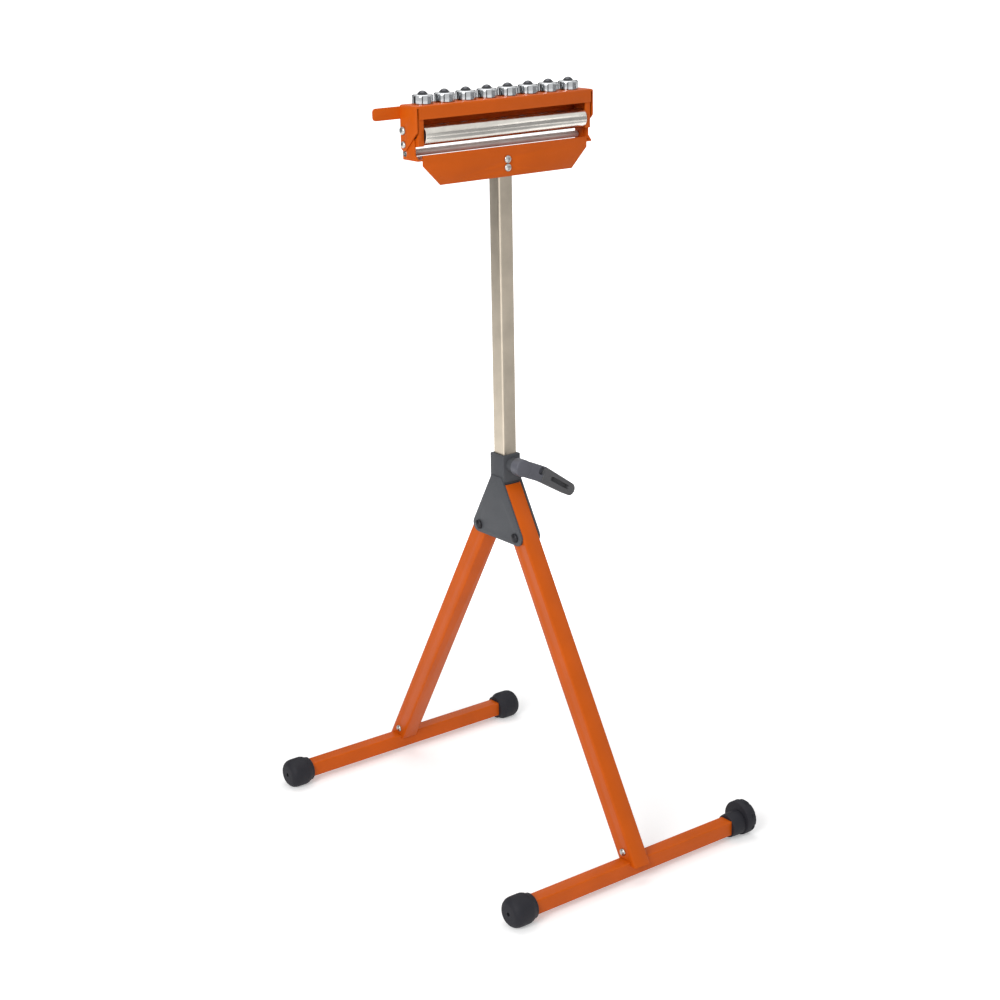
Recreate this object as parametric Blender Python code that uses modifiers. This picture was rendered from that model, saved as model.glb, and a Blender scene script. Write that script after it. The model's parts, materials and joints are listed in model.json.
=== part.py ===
"""Folding pedestal roller stand with a turning head that carries a roller and a row of ball units.

Frame: X runs along the roller and both foot bars, -Y is the side the roller faces, +Z is up and
Z = 0 is the floor. The centre of the post stands on the Z axis.
"""
import math

import bmesh
import bpy
from mathutils import Matrix, Vector

MM = 0.001

# Fits between neighbouring pieces
SEAT_GAP = 0.3 * MM
HOLE_CLEARANCE = 0.3 * MM
SLIDE_CLEARANCE = 0.3 * MM

# Post and the sleeve it slides in
POST_WIDTH = 25 * MM
POST_WALL = 1.5 * MM
POST_CORNER = 2 * MM
POST_LENGTH = 559 * MM
SLEEVE_RISE = 22 * MM
SLEEVE_WALL = 2.7 * MM
COLLAR_RISE = 80 * MM
COLLAR_HEIGHT = 43 * MM
COLLAR_WALL = 3.7 * MM
COLLAR_EDGE = 1.5 * MM
PLUG_FLANGE = 3 * MM
PLUG_DEPTH = 16 * MM

# Legs
LEG_WIDTH = 30 * MM
LEG_DEPTH = 32 * MM
LEG_WALL = 1.5 * MM
LEG_CORNER = 3 * MM
LEG_PIVOT_Y = 45 * MM
LEG_PIVOT_Z = 478 * MM
LEG_TOP_RISE = 77 * MM
LEG_SKIRT = 6.5 * MM
LEG_STOP_GAP = 0.3 * MM

# Side plates of the hub
CHEEK_THICKNESS = 3.2 * MM
CHEEK_DROP = 12 * MM
CHEEK_OVERLAP = 8 * MM
CHEEK_INSET = 1 * MM
CHEEK_RADIUS = 12 * MM

# Foot bars, rubber ends and the levelling disc
FOOT_SPREAD = 298 * MM
FOOT_WIDTH = 24 * MM
FOOT_WALL = 1.5 * MM
FOOT_END = 238 * MM
FOOT_AXIS_Z = 22.5 * MM
CAP_RADIUS = 23.5 * MM
CAP_MOUTH_RADIUS = 19.5 * MM
CAP_LENGTH = 42 * MM
CAP_END_WALL = 6 * MM
CAP_VENT_RADIUS = 2.5 * MM
CAP_VENT_DROP = 8 * MM
SPIGOT_LENGTH = 52 * MM
SPIGOT_WALL = 2 * MM
SPIGOT_CORNER = 2.6 * MM
DISC_RADIUS = 27 * MM
DISC_THICKNESS = 20 * MM
DISC_EDGE = 5 * MM
DISC_NOTCHES = 8
DISC_NOTCH_RADIUS = 4 * MM
LEVEL_BUSH_RADIUS = 19 * MM
LEVEL_BUSH_REACH = 25 * MM
BUSH_END_WALL = 4 * MM

# Yoke that carries the head
SHEET = 2 * MM
YOKE_FRONT = -17.3 * MM
YOKE_BACK = 18.5 * MM
EAR_PLAY = 0.6 * MM
EAR_RADIUS = 12.5 * MM
EAR_FRONT = -10.5 * MM
EAR_FOOT_RISE = 7 * MM
EAR_SHOULDER_RISE = 24.5 * MM
APRON_SETBACK = 9.4 * MM
APRON_DROP = 38.5 * MM
APRON_UPSTAND = 5.5 * MM
APRON_CHAMFER = 29 * MM
SOCKET_WIDTH = 30 * MM
SOCKET_LENGTH = 33 * MM
SOCKET_CORNER = 3.2 * MM
CROSS_BAR_RADIUS = 5 * MM
CROSS_BAR_Y = 14 * MM
CROSS_BAR_RISE = 6.5 * MM

# Turning head
HEAD_PIVOT_Y = 13 * MM
HEAD_PIVOT_RISE = 39 * MM
HEAD_HALF_LENGTH = 162 * MM
HEAD_FRONT = -20 * MM
HEAD_BACK = 21 * MM
HEAD_TOP_RISE = 36 * MM
BAND_HEIGHT = 19 * MM
BACK_FLANGE_HEIGHT = 42 * MM
END_FRONT_DROP = 36.5 * MM
TAIL_RADIUS = 9 * MM
TAIL_DROP = 19.5 * MM
END_SLIT = 3.2 * MM
HEAD_BEND = 2.5 * MM
TAB_REACH = 46 * MM
TAB_HEIGHT = 20 * MM
TAB_CORNER = 5 * MM

# Roller
ROLLER_RADIUS = 14.5 * MM
ROLLER_WALL = 1.5 * MM
ROLLER_PLAY = 7.8 * MM
ROLLER_Y = -8 * MM
ROLLER_DROP = 6 * MM
AXLE_RADIUS = 4 * MM
BEARING_RADIUS = 8 * MM
BEARING_WIDTH = 8 * MM
BRACKET_FLANGE = 9 * MM
BRACKET_SHELF = 14 * MM
BRACKET_FLANGE_DROP = 20.5 * MM
BRACKET_SWING = 19.5 * MM
BRACKET_FOOT_GAP = 1.5 * MM
BRACKET_FOOT_FRONT = -3 * MM
BRACKET_FOOT_BACK = 5 * MM

# Ball units
BALL_COUNT = 8
BALL_PITCH = 37.9 * MM
BALL_INSET = 16.5 * MM
BALL_RADIUS = 8 * MM
BALL_SHOW = 4 * MM
BALL_CLEARANCE = 0.4 * MM
CUP_RADIUS = 15 * MM
CUP_HEIGHT = 14 * MM
CUP_RIM = 1.2 * MM
CUP_STEM_RADIUS = 4 * MM
CUP_NUT_RADIUS = 6.5 * MM
CUP_NUT_HEIGHT = 5 * MM
CUP_FLOOR = 2 * MM

# Clamp lever
CLAMP_DROP = 16 * MM
BOSS_RADIUS = 11 * MM
BOSS_REACH = 12 * MM
STUD_RADIUS = 5 * MM
PAD_RADIUS = 7.5 * MM
PAD_THICKNESS = 2 * MM
LEVER_HUB_RADIUS = 13.5 * MM
LEVER_THICKNESS = 17 * MM
LEVER_STUB_LENGTH = 42 * MM
LEVER_STUB_DROP = math.radians(24)
LEVER_STUB_HALF = 12.5 * MM
GRIP_LENGTH = 62 * MM
GRIP_DROP = math.radians(33)
GRIP_TIP_RADIUS = 10 * MM
GRIP_EDGE = 2 * MM
GRIP_SLOT_DEPTH = 3 * MM
GRIP_SLOT_HALF = 2.5 * MM
GRIP_SLOT_START = 18 * MM
GRIP_SLOT_END = 56 * MM

# Bolts: shank radius, head radius, head height, nut radius, nut height
M8 = (4 * MM, 7.5 * MM, 5 * MM, 7.2 * MM, 6 * MM)
M6 = (3 * MM, 5.8 * MM, 3.6 * MM, 5.6 * MM, 5 * MM)
HEAD_BOLT = (4 * MM, 6 * MM, 4 * MM, 5.6 * MM, 4 * MM)
DETENT_SCREW = (3 * MM, 5 * MM, 3.5 * MM)
BAR_SCREW_SHANK = 2.5 * MM
BAR_SCREW_HEAD = 4.4 * MM
BAR_SCREW_DEPTH = 12 * MM
YOKE_BOLT_DROPS = (25.5 * MM, 13.5 * MM)
LEG_BOLT_RISE = 12 * MM
LEVEL_SCREW_DEPTH = 14 * MM
BOLT_TIP = 2 * MM

# Cutters reach this far past the metal that they cut
CUTTER_REACH = 100 * MM

ROUND_SEGMENTS = 28
SMALL_SEGMENTS = 16
FASTENER_SEGMENTS = 10

# Sizes that follow from the ones above
BORE_HALF = POST_WIDTH / 2 + SLIDE_CLEARANCE
SLEEVE_HALF = BORE_HALF + SLEEVE_WALL
CHEEK_INNER = LEG_WIDTH / 2 + SEAT_GAP
CHEEK_OUTER = CHEEK_INNER + CHEEK_THICKNESS
FOOT_TOP = FOOT_AXIS_Z + FOOT_WIDTH / 2
LEG_LEAN = math.atan2(FOOT_SPREAD - LEG_PIVOT_Y, LEG_PIVOT_Z - FOOT_TOP)
LEG_HALF_ACROSS = LEG_DEPTH / 2 / math.cos(LEG_LEAN)
CAP_SEGMENTS = 24
SLEEVE_BOTTOM = LEG_PIVOT_Z + SLEEVE_RISE
LEG_TOP = LEG_PIVOT_Z + LEG_TOP_RISE
COLLAR_BOTTOM = LEG_PIVOT_Z + COLLAR_RISE
COLLAR_TOP = COLLAR_BOTTOM + COLLAR_HEIGHT
COLLAR_HALF = BORE_HALF + COLLAR_WALL
CLAMP_Z = COLLAR_TOP - CLAMP_DROP
CHEEK_BOTTOM = LEG_PIVOT_Z - CHEEK_DROP
POST_BOTTOM = SLEEVE_BOTTOM + SEAT_GAP
POST_TOP = POST_BOTTOM + POST_LENGTH
YOKE_FLOOR_TOP = POST_TOP + SEAT_GAP + SHEET
APRON_BOTTOM = YOKE_FLOOR_TOP - APRON_DROP
HEAD_PIVOT_Z = YOKE_FLOOR_TOP + HEAD_PIVOT_RISE
HEAD_TOP = HEAD_PIVOT_Z + HEAD_TOP_RISE
TAIL_Y = HEAD_BACK - TAIL_RADIUS
TAIL_Z = HEAD_PIVOT_Z - TAIL_DROP
ROLLER_Z = HEAD_PIVOT_Z - ROLLER_DROP
BAR_END = FOOT_END - CAP_END_WALL
BUSH_END = FOOT_END - DISC_THICKNESS - SEAT_GAP
LEVEL_BAR_END = BUSH_END - BUSH_END_WALL - SEAT_GAP
DISC_REACH = DISC_RADIUS * math.cos(math.pi / ROUND_SEGMENTS)
YOKE_EAR_OUTER = HEAD_HALF_LENGTH - SHEET - EAR_PLAY
APRON_HALF_LENGTH = YOKE_EAR_OUTER - APRON_SETBACK
EAR_INNER = YOKE_EAR_OUTER - SHEET
WEB_OUTER = EAR_INNER - 2 * SEAT_GAP
ROLLER_HALF_LENGTH = WEB_OUTER - SHEET - ROLLER_PLAY
BAND_END = HEAD_HALF_LENGTH - SHEET - END_SLIT
BALL_Y = HEAD_BACK - BALL_INSET
CLAMP_FACE = -COLLAR_HALF - BOSS_REACH


def clear_scene():
    for item in list(bpy.data.objects):
        bpy.data.objects.remove(item, do_unlink=True)


def make_collection(name):
    collection = bpy.data.collections.new(name)
    bpy.context.scene.collection.children.link(collection)
    return collection


clear_scene()
PARTS = make_collection("roller_stand")
CUTTERS = make_collection("cutters")


def srgb(value):
    return value / 12.92 if value <= 0.04045 else ((value + 0.055) / 1.055) ** 2.4


def material(name, hex_colour, roughness, metallic):
    """Principled material whose colour is written as an sRGB hex value."""
    made = bpy.data.materials.new(name)
    made.use_nodes = True
    shader = made.node_tree.nodes["Principled BSDF"]
    channels = [srgb((hex_colour >> shift & 255) / 255) for shift in (16, 8, 0)]
    shader.inputs["Base Color"].default_value = (*channels, 1)
    shader.inputs["Roughness"].default_value = roughness
    shader.inputs["Metallic"].default_value = metallic
    made.diffuse_color = (*channels, 1)
    return made


FINISHES = {
    "orange_paint": (0xCE5A18, 0.38, 0.0),
    "galvanised_steel": (0xB0AFAA, 0.42, 0.9),
    "roller_steel": (0xC9C9C6, 0.28, 0.9),
    "chromed_steel": (0xDCDDDE, 0.12, 1.0),
    "zinc_fastener": (0xC2C2BF, 0.3, 0.9),
    "black_fastener": (0x232326, 0.45, 0.6),
    "hub_casting": (0x585A5C, 0.5, 0.0),
    "lever_casting": (0x6A6A74, 0.45, 0.2),
    "grip_plastic": (0x4A4A4C, 0.5, 0.0),
    "foot_rubber": (0x35353C, 0.7, 0.0),
    "guide_plastic": (0x26262A, 0.5, 0.0),
}


def dress(target, name, finish):
    hex_colour, roughness, metallic = FINISHES[finish]
    target.data.materials.clear()
    target.data.materials.append(material(f"{name}_{finish}", hex_colour, roughness, metallic))


def add_object(name, mesh, finish=None):
    """Link a mesh as a finished part, or as a guide when it has no finish."""
    made = bpy.data.objects.new(name, mesh)
    if finish:
        PARTS.objects.link(made)
        dress(made, name, finish)
    else:
        CUTTERS.objects.link(made)
        made.hide_render = True
        made.display_type = "WIRE"
    return made


def mesh_from(bm, name):
    mesh = bpy.data.meshes.new(name)
    bm.to_mesh(mesh)
    bm.free()
    return mesh


def add_box(name, low, high, finish=None, bevel=0.0):
    """Box between two corners, with its edges rounded when a bevel is given."""
    low, high = Vector(low), Vector(high)
    bm = bmesh.new()
    bmesh.ops.create_cube(bm, size=1)
    bmesh.ops.scale(bm, vec=high - low, verts=bm.verts)
    bmesh.ops.translate(bm, vec=(low + high) / 2, verts=bm.verts)
    made = add_object(name, mesh_from(bm, name), finish)
    if bevel:
        add_bevel(made, bevel)
    return made


def add_bevel(target, width, segments=2):
    rounding = target.modifiers.new("rounded_edges", "BEVEL")
    rounding.width = width
    rounding.segments = segments
    rounding.limit_method = "ANGLE"
    rounding.angle_limit = math.radians(40)


AXIS_TURNS = {
    "X": Matrix.Rotation(math.pi / 2, 4, "Y"),
    "Y": Matrix.Rotation(-math.pi / 2, 4, "X"),
    "Z": Matrix.Identity(4),
}


def add_cylinder(name, radius, start, end, axis, centre, finish=None, segments=SMALL_SEGMENTS):
    """Cylinder along one axis from start to end; centre gives its place across the axis."""
    bm = bmesh.new()
    bmesh.ops.create_cone(bm, cap_ends=True, segments=segments, radius1=radius, radius2=radius,
                          depth=end - start)
    place = Vector(centre)
    place["XYZ".index(axis)] = (start + end) / 2
    bm.transform(Matrix.Translation(place) @ AXIS_TURNS[axis])
    made = add_object(name, mesh_from(bm, name), finish)
    made.data.shade_smooth()
    made.data.set_sharp_from_angle(angle=math.radians(35))
    return made


def add_turned(name, profile, axis, centre, finish=None, segments=ROUND_SEGMENTS, closed=False):
    """Turn a profile of (radius, height) points about one axis.

    The profile runs down its outer side. A closed profile makes a ring.
    """
    bm = bmesh.new()
    points = [bm.verts.new((radius, 0, height)) for radius, height in profile]
    for first, second in zip(points, points[1:]):
        bm.edges.new((first, second))
    if closed:
        bm.edges.new((points[-1], points[0]))
    made = add_object(name, mesh_from(bm, name), finish)
    turn = made.modifiers.new("turned", "SCREW")
    turn.steps = segments
    turn.render_steps = segments
    turn.use_merge_vertices = True
    turn.merge_threshold = 0.00001
    made.matrix_world = Matrix.Translation(centre) @ AXIS_TURNS[axis]
    return made


def add_outline(name, outline, start, end, axis, finish=None):
    """Flat outline extruded from start to end along X or Y.

    Outline points are (y, z) for an extrusion along X, and (x, z) for one along Y.
    """
    curve = bpy.data.curves.new(name, "CURVE")
    curve.dimensions = "2D"
    curve.fill_mode = "BOTH"
    curve.extrude = (end - start) / 2
    spline = curve.splines.new("POLY")
    spline.points.add(len(outline) - 1)
    for point, (across, up) in zip(spline.points, outline):
        point.co = (across, up, 0, 1)
    spline.use_cyclic_u = True
    drawn = bpy.data.objects.new(name + "_outline", curve)
    CUTTERS.objects.link(drawn)
    bpy.context.view_layer.update()
    mesh = bpy.data.meshes.new_from_object(drawn.evaluated_get(bpy.context.evaluated_depsgraph_get()))
    bpy.data.objects.remove(drawn, do_unlink=True)
    middle = (start + end) / 2
    if axis == "X":
        stand_up = Matrix(((0, 0, 1, middle), (1, 0, 0, 0), (0, 1, 0, 0), (0, 0, 0, 1)))
    else:
        stand_up = Matrix(((1, 0, 0, 0), (0, 0, -1, middle), (0, 1, 0, 0), (0, 0, 0, 1)))
    bm = bmesh.new()
    bm.from_mesh(mesh)
    bm.transform(stand_up)
    bmesh.ops.remove_doubles(bm, verts=bm.verts, dist=0.000001)
    bmesh.ops.recalc_face_normals(bm, faces=bm.faces)
    bpy.data.meshes.remove(mesh)
    return add_object(name, mesh_from(bm, name), finish)


def add_square_tube(name, width, depth, low, high, wall, corner, finish):
    """Open-ended tube along Z between low and high, centred on Z, with rounded long edges."""
    bm = bmesh.new()
    bmesh.ops.create_cube(bm, size=1)
    bmesh.ops.scale(bm, vec=(width, depth, high - low), verts=bm.verts)
    bmesh.ops.translate(bm, vec=(0, 0, (low + high) / 2), verts=bm.verts)
    ends = [face for face in bm.faces if abs(face.normal.z) > 0.5]
    bmesh.ops.delete(bm, geom=ends, context="FACES_ONLY")
    made = add_object(name, mesh_from(bm, name), finish)
    add_bevel(made, corner)
    add_wall(made, wall)
    return made


def add_wall(target, thickness):
    """Give an open surface a wall on its inner side."""
    wall = target.modifiers.new("wall", "SOLIDIFY")
    wall.thickness = thickness
    wall.offset = -1
    wall.use_even_offset = True


def combine(target, other, operation):
    change = target.modifiers.new(f"{operation.lower()}_{other.name}", "BOOLEAN")
    change.operation = operation
    change.object = other
    change.solver = "EXACT"


def cut(target, *cutters):
    for cutter in cutters:
        combine(target, cutter, "DIFFERENCE")


def join(target, *additions):
    for addition in additions:
        combine(target, addition, "UNION")


def arc(centre, radius, start_degrees, end_degrees, steps):
    """Points along an arc, angles measured from the first axis towards the second."""
    points = []
    for step in range(steps + 1):
        angle = math.radians(start_degrees + (end_degrees - start_degrees) * step / steps)
        points.append((centre[0] + radius * math.cos(angle), centre[1] + radius * math.sin(angle)))
    return points


def dome_profile(radius, height, steps=3):
    """Half outline of a domed screw head, from its crown down to its rim."""
    points = [(0, height)]
    for step in range(1, steps + 1):
        angle = math.pi / 2 * (1 - step / steps)
        points.append((radius * math.cos(angle), height * (0.35 + 0.65 * math.sin(angle))))
    return points


def add_fastener(name, profile, axis, centre, seat, side, finish=None):
    """Turned fastener, or a cutter for one: height 0 lies at the seat and the head points to the side."""
    made = add_turned(name, profile, "Z", (0, 0, 0), finish, segments=FASTENER_SEGMENTS)
    place = Vector(centre)
    place["XYZ".index(axis)] = seat
    turn = AXIS_TURNS[axis]
    if side < 0:
        turn = turn @ Matrix.Rotation(math.pi, 4, "X")
    made.matrix_world = Matrix.Translation(place) @ turn
    return made


def add_bolt(name, size, axis, centre, head_at, nut_at, head_side, finish):
    """Bolt with its nut as one turned piece; head_at and nut_at are the clamped faces."""
    shank, head, head_height, nut, nut_height = size
    grip = abs(nut_at - head_at) + 2 * SEAT_GAP
    nut_end = grip + nut_height
    profile = dome_profile(head, head_height)
    profile += [(head, 0), (shank, 0), (shank, -grip), (nut, -grip), (nut, -nut_end)]
    profile += [(shank, -nut_end), (shank, -nut_end - BOLT_TIP), (0, -nut_end - BOLT_TIP)]
    return add_fastener(name, profile, axis, centre, head_at + head_side * SEAT_GAP, head_side, finish)


def add_screw(name, size, axis, centre, head_at, head_side, depth, finish):
    """Screw without a nut, reaching depth below its head."""
    shank, head, head_height = size[:3]
    profile = dome_profile(head, head_height)
    profile += [(head, 0), (shank, 0), (shank, -depth), (0, -depth)]
    return add_fastener(name, profile, axis, centre, head_at + head_side * SEAT_GAP, head_side, finish)


def add_axis(name, location):
    """Empty on a joint's axis, which carries the pieces of one moving body."""
    empty = bpy.data.objects.new(name, None)
    empty.location = location
    empty.empty_display_size = 0.03
    CUTTERS.objects.link(empty)
    return empty


def carry(empty, *pieces):
    for piece in pieces:
        piece.parent = empty
        piece.matrix_parent_inverse = Matrix.Translation(empty.location).inverted()


def build_hub():
    """Collar, guide sleeve and the two side plates that hold the legs."""
    hub = add_box("hub_housing", (-COLLAR_HALF, -COLLAR_HALF, COLLAR_BOTTOM),
                  (COLLAR_HALF, COLLAR_HALF, COLLAR_TOP), "hub_casting", COLLAR_EDGE)
    sleeve = add_box("sleeve_form", (-CHEEK_INNER - CHEEK_THICKNESS / 2, -SLEEVE_HALF, SLEEVE_BOTTOM),
                     (CHEEK_INNER + CHEEK_THICKNESS / 2, SLEEVE_HALF, COLLAR_BOTTOM + CHEEK_OVERLAP))
    join(hub, sleeve)
    slope = math.tan(LEG_LEAN)
    edge_at_pivot = LEG_PIVOT_Y + LEG_HALF_ACROSS - CHEEK_INSET
    top_half = edge_at_pivot - slope * (COLLAR_BOTTOM + CHEEK_OVERLAP - LEG_PIVOT_Z)
    corner = (edge_at_pivot - CHEEK_RADIUS / math.cos(LEG_LEAN)
              + slope * (LEG_PIVOT_Z - CHEEK_BOTTOM - CHEEK_RADIUS), CHEEK_BOTTOM + CHEEK_RADIUS)
    half = arc(corner, CHEEK_RADIUS, math.degrees(LEG_LEAN), -90, 5)
    outline = [(top_half, COLLAR_BOTTOM + CHEEK_OVERLAP)] + half
    outline += [(-across, up) for across, up in reversed(outline)]
    for side, x in (("near", -CHEEK_OUTER), ("far", CHEEK_INNER)):
        join(hub, add_outline(f"cheek_{side}_form", outline, x, x + CHEEK_THICKNESS, "X"))
    join(hub, add_cylinder("boss_form", BOSS_RADIUS, CLAMP_FACE, -COLLAR_HALF + MM, "Y",
                           (0, 0, CLAMP_Z)))
    bore = add_box("post_bore", (-BORE_HALF, -BORE_HALF, SLEEVE_BOTTOM - 20 * MM),
                   (BORE_HALF, BORE_HALF, COLLAR_TOP + 20 * MM))
    stud_hole = add_cylinder("stud_hole", STUD_RADIUS + HOLE_CLEARANCE, CLAMP_FACE - MM, 0, "Y",
                             (0, 0, CLAMP_Z))
    pad_pocket = add_cylinder("pad_pocket", PAD_RADIUS + HOLE_CLEARANCE,
                              -BORE_HALF - PAD_THICKNESS, 0, "Y", (0, 0, CLAMP_Z))
    cut(hub, bore, stud_hole, pad_pocket)
    for side, y in (("rear", LEG_PIVOT_Y), ("front", -LEG_PIVOT_Y)):
        cut(hub, add_cylinder(f"{side}_pivot_bore", M8[0] + HOLE_CLEARANCE, -CUTTER_REACH, CUTTER_REACH, "X",
                              (0, y, LEG_PIVOT_Z)))
        add_bolt(f"{side}_leg_pivot_bolt", M8, "X", (0, y, LEG_PIVOT_Z), -CHEEK_OUTER, CHEEK_OUTER,
                 -1, "black_fastener")
    return hub


def build_leg(side, sign):
    """One leg with its foot bar; sign is +1 for the rear leg and -1 for the front leg."""
    length = (LEG_PIVOT_Z - FOOT_TOP) / math.cos(LEG_LEAN)
    leg = add_square_tube(f"{side}_leg_tube", LEG_WIDTH, LEG_DEPTH, -length - 40 * MM,
                          LEG_TOP - LEG_PIVOT_Z + 60 * MM, LEG_WALL, LEG_CORNER, "orange_paint")
    pivot = Vector((0, sign * LEG_PIVOT_Y, LEG_PIVOT_Z))
    leg.matrix_world = Matrix.Translation(pivot) @ Matrix.Rotation(sign * LEG_LEAN, 4, "X")
    foot_y = sign * FOOT_SPREAD
    reach = CUTTER_REACH
    stop = SLEEVE_HALF + LEG_STOP_GAP
    skirt = add_box(f"{side}_skirt_cut", (-reach, foot_y - reach, FOOT_TOP - reach),
                    (reach, foot_y + reach, FOOT_TOP - LEG_SKIRT))
    saddle_half = FOOT_WIDTH / 2 + SEAT_GAP
    saddle = add_box(f"{side}_saddle_cut", (-reach, foot_y - saddle_half, FOOT_TOP - reach),
                     (reach, foot_y + saddle_half, FOOT_TOP + SEAT_GAP))
    top = add_box(f"{side}_top_cut", (-reach, -reach, LEG_TOP), (reach, reach, LEG_TOP + reach))
    mitre = add_box(f"{side}_mitre_cut", (-reach, min(sign * stop, -sign * reach), LEG_PIVOT_Z),
                    (reach, max(sign * stop, -sign * reach), LEG_TOP + reach))
    pin = add_cylinder(f"{side}_leg_bore", M8[0] + HOLE_CLEARANCE, -reach, reach, "X", pivot)
    cut(leg, skirt, saddle, top, mitre, pin)

    right_end = BAR_END if sign > 0 else LEVEL_BAR_END
    foot = add_square_tube(f"{side}_foot_bar", FOOT_WIDTH, FOOT_WIDTH, -BAR_END, right_end,
                           FOOT_WALL, POST_CORNER, "orange_paint")
    foot.matrix_world = Matrix.Translation((0, foot_y, FOOT_AXIS_Z)) @ AXIS_TURNS["X"]

    spigot_gap = LEG_WALL + SEAT_GAP
    spigot = add_square_tube(f"{side}_foot_spigot", LEG_WIDTH - 2 * spigot_gap,
                             LEG_DEPTH - 2 * spigot_gap, -length - 30 * MM,
                             -length + SPIGOT_LENGTH, SPIGOT_WALL, SPIGOT_CORNER,
                             "galvanised_steel")
    spigot.matrix_world = leg.matrix_world
    cut(spigot, add_box(f"{side}_spigot_cut", (-reach, foot_y - reach, FOOT_TOP - reach),
                        (reach, foot_y + reach, FOOT_TOP + SEAT_GAP)))
    along = Vector((0, sign * math.sin(LEG_LEAN), -math.cos(LEG_LEAN)))
    bolt_centre = pivot + along * (length - LEG_BOLT_RISE)
    bolt_bore = add_cylinder(f"{side}_leg_bolt_bore", M6[0] + HOLE_CLEARANCE, -reach, reach, "X",
                             bolt_centre)
    cut(leg, bolt_bore)
    cut(spigot, bolt_bore)
    bolt = add_bolt(f"{side}_leg_bolt", M6, "X", bolt_centre, -LEG_WIDTH / 2, LEG_WIDTH / 2, -1,
                    "zinc_fastener")
    axis = add_axis(f"{side}_leg_axis", pivot)
    carry(axis, leg, foot, spigot, bolt)
    return axis


def add_end_cap(name, sign, foot_y):
    """Bulbous rubber cap pushed over a foot bar's end, with a flat that stands on the floor."""
    end = FOOT_END
    mouth = end - CAP_LENGTH
    shoulder = CAP_LENGTH * 0.3
    profile = [(0, end), (CAP_RADIUS * 0.62, end)]
    round_centre = end - CAP_LENGTH * 0.25
    for step in range(1, 5):
        angle = math.radians(90 - 22.5 * step)
        profile.append((CAP_RADIUS * 0.62 + CAP_RADIUS * 0.38 * math.cos(angle),
                        round_centre + (end - round_centre) * math.sin(angle)))
    profile += [(CAP_RADIUS, mouth + shoulder), (CAP_MOUTH_RADIUS, mouth + 3 * MM),
                (CAP_MOUTH_RADIUS - MM, mouth), (0, mouth)]
    cap = add_turned(name, profile, "X", (0, foot_y, FOOT_AXIS_Z), "foot_rubber", CAP_SEGMENTS)
    if sign < 0:
        cap.matrix_world = (Matrix.Translation((0, foot_y, FOOT_AXIS_Z))
                            @ Matrix.Rotation(math.pi, 4, "Z") @ AXIS_TURNS["X"])
    half = FOOT_WIDTH / 2 + SEAT_GAP
    inner = min(sign * (mouth - 10 * MM), sign * (BAR_END + SEAT_GAP))
    outer = max(sign * (mouth - 10 * MM), sign * (BAR_END + SEAT_GAP))
    socket = add_box(f"{name}_socket", (inner, foot_y - half, FOOT_AXIS_Z - half),
                     (outer, foot_y + half, FOOT_AXIS_Z + half))
    floor = add_box(f"{name}_floor", (sign * end - 90 * MM, foot_y - 60 * MM, -40 * MM),
                    (sign * end + 90 * MM, foot_y + 60 * MM, 0))
    vent_from = BAR_END - 5 * MM
    vent_to = end + 5 * MM
    vent = add_cylinder(f"{name}_vent", CAP_VENT_RADIUS, min(sign * vent_from, sign * vent_to),
                        max(sign * vent_from, sign * vent_to), "X",
                        (0, foot_y, FOOT_AXIS_Z - CAP_VENT_DROP), segments=10)
    cut(cap, socket, floor, vent)
    return cap


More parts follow.
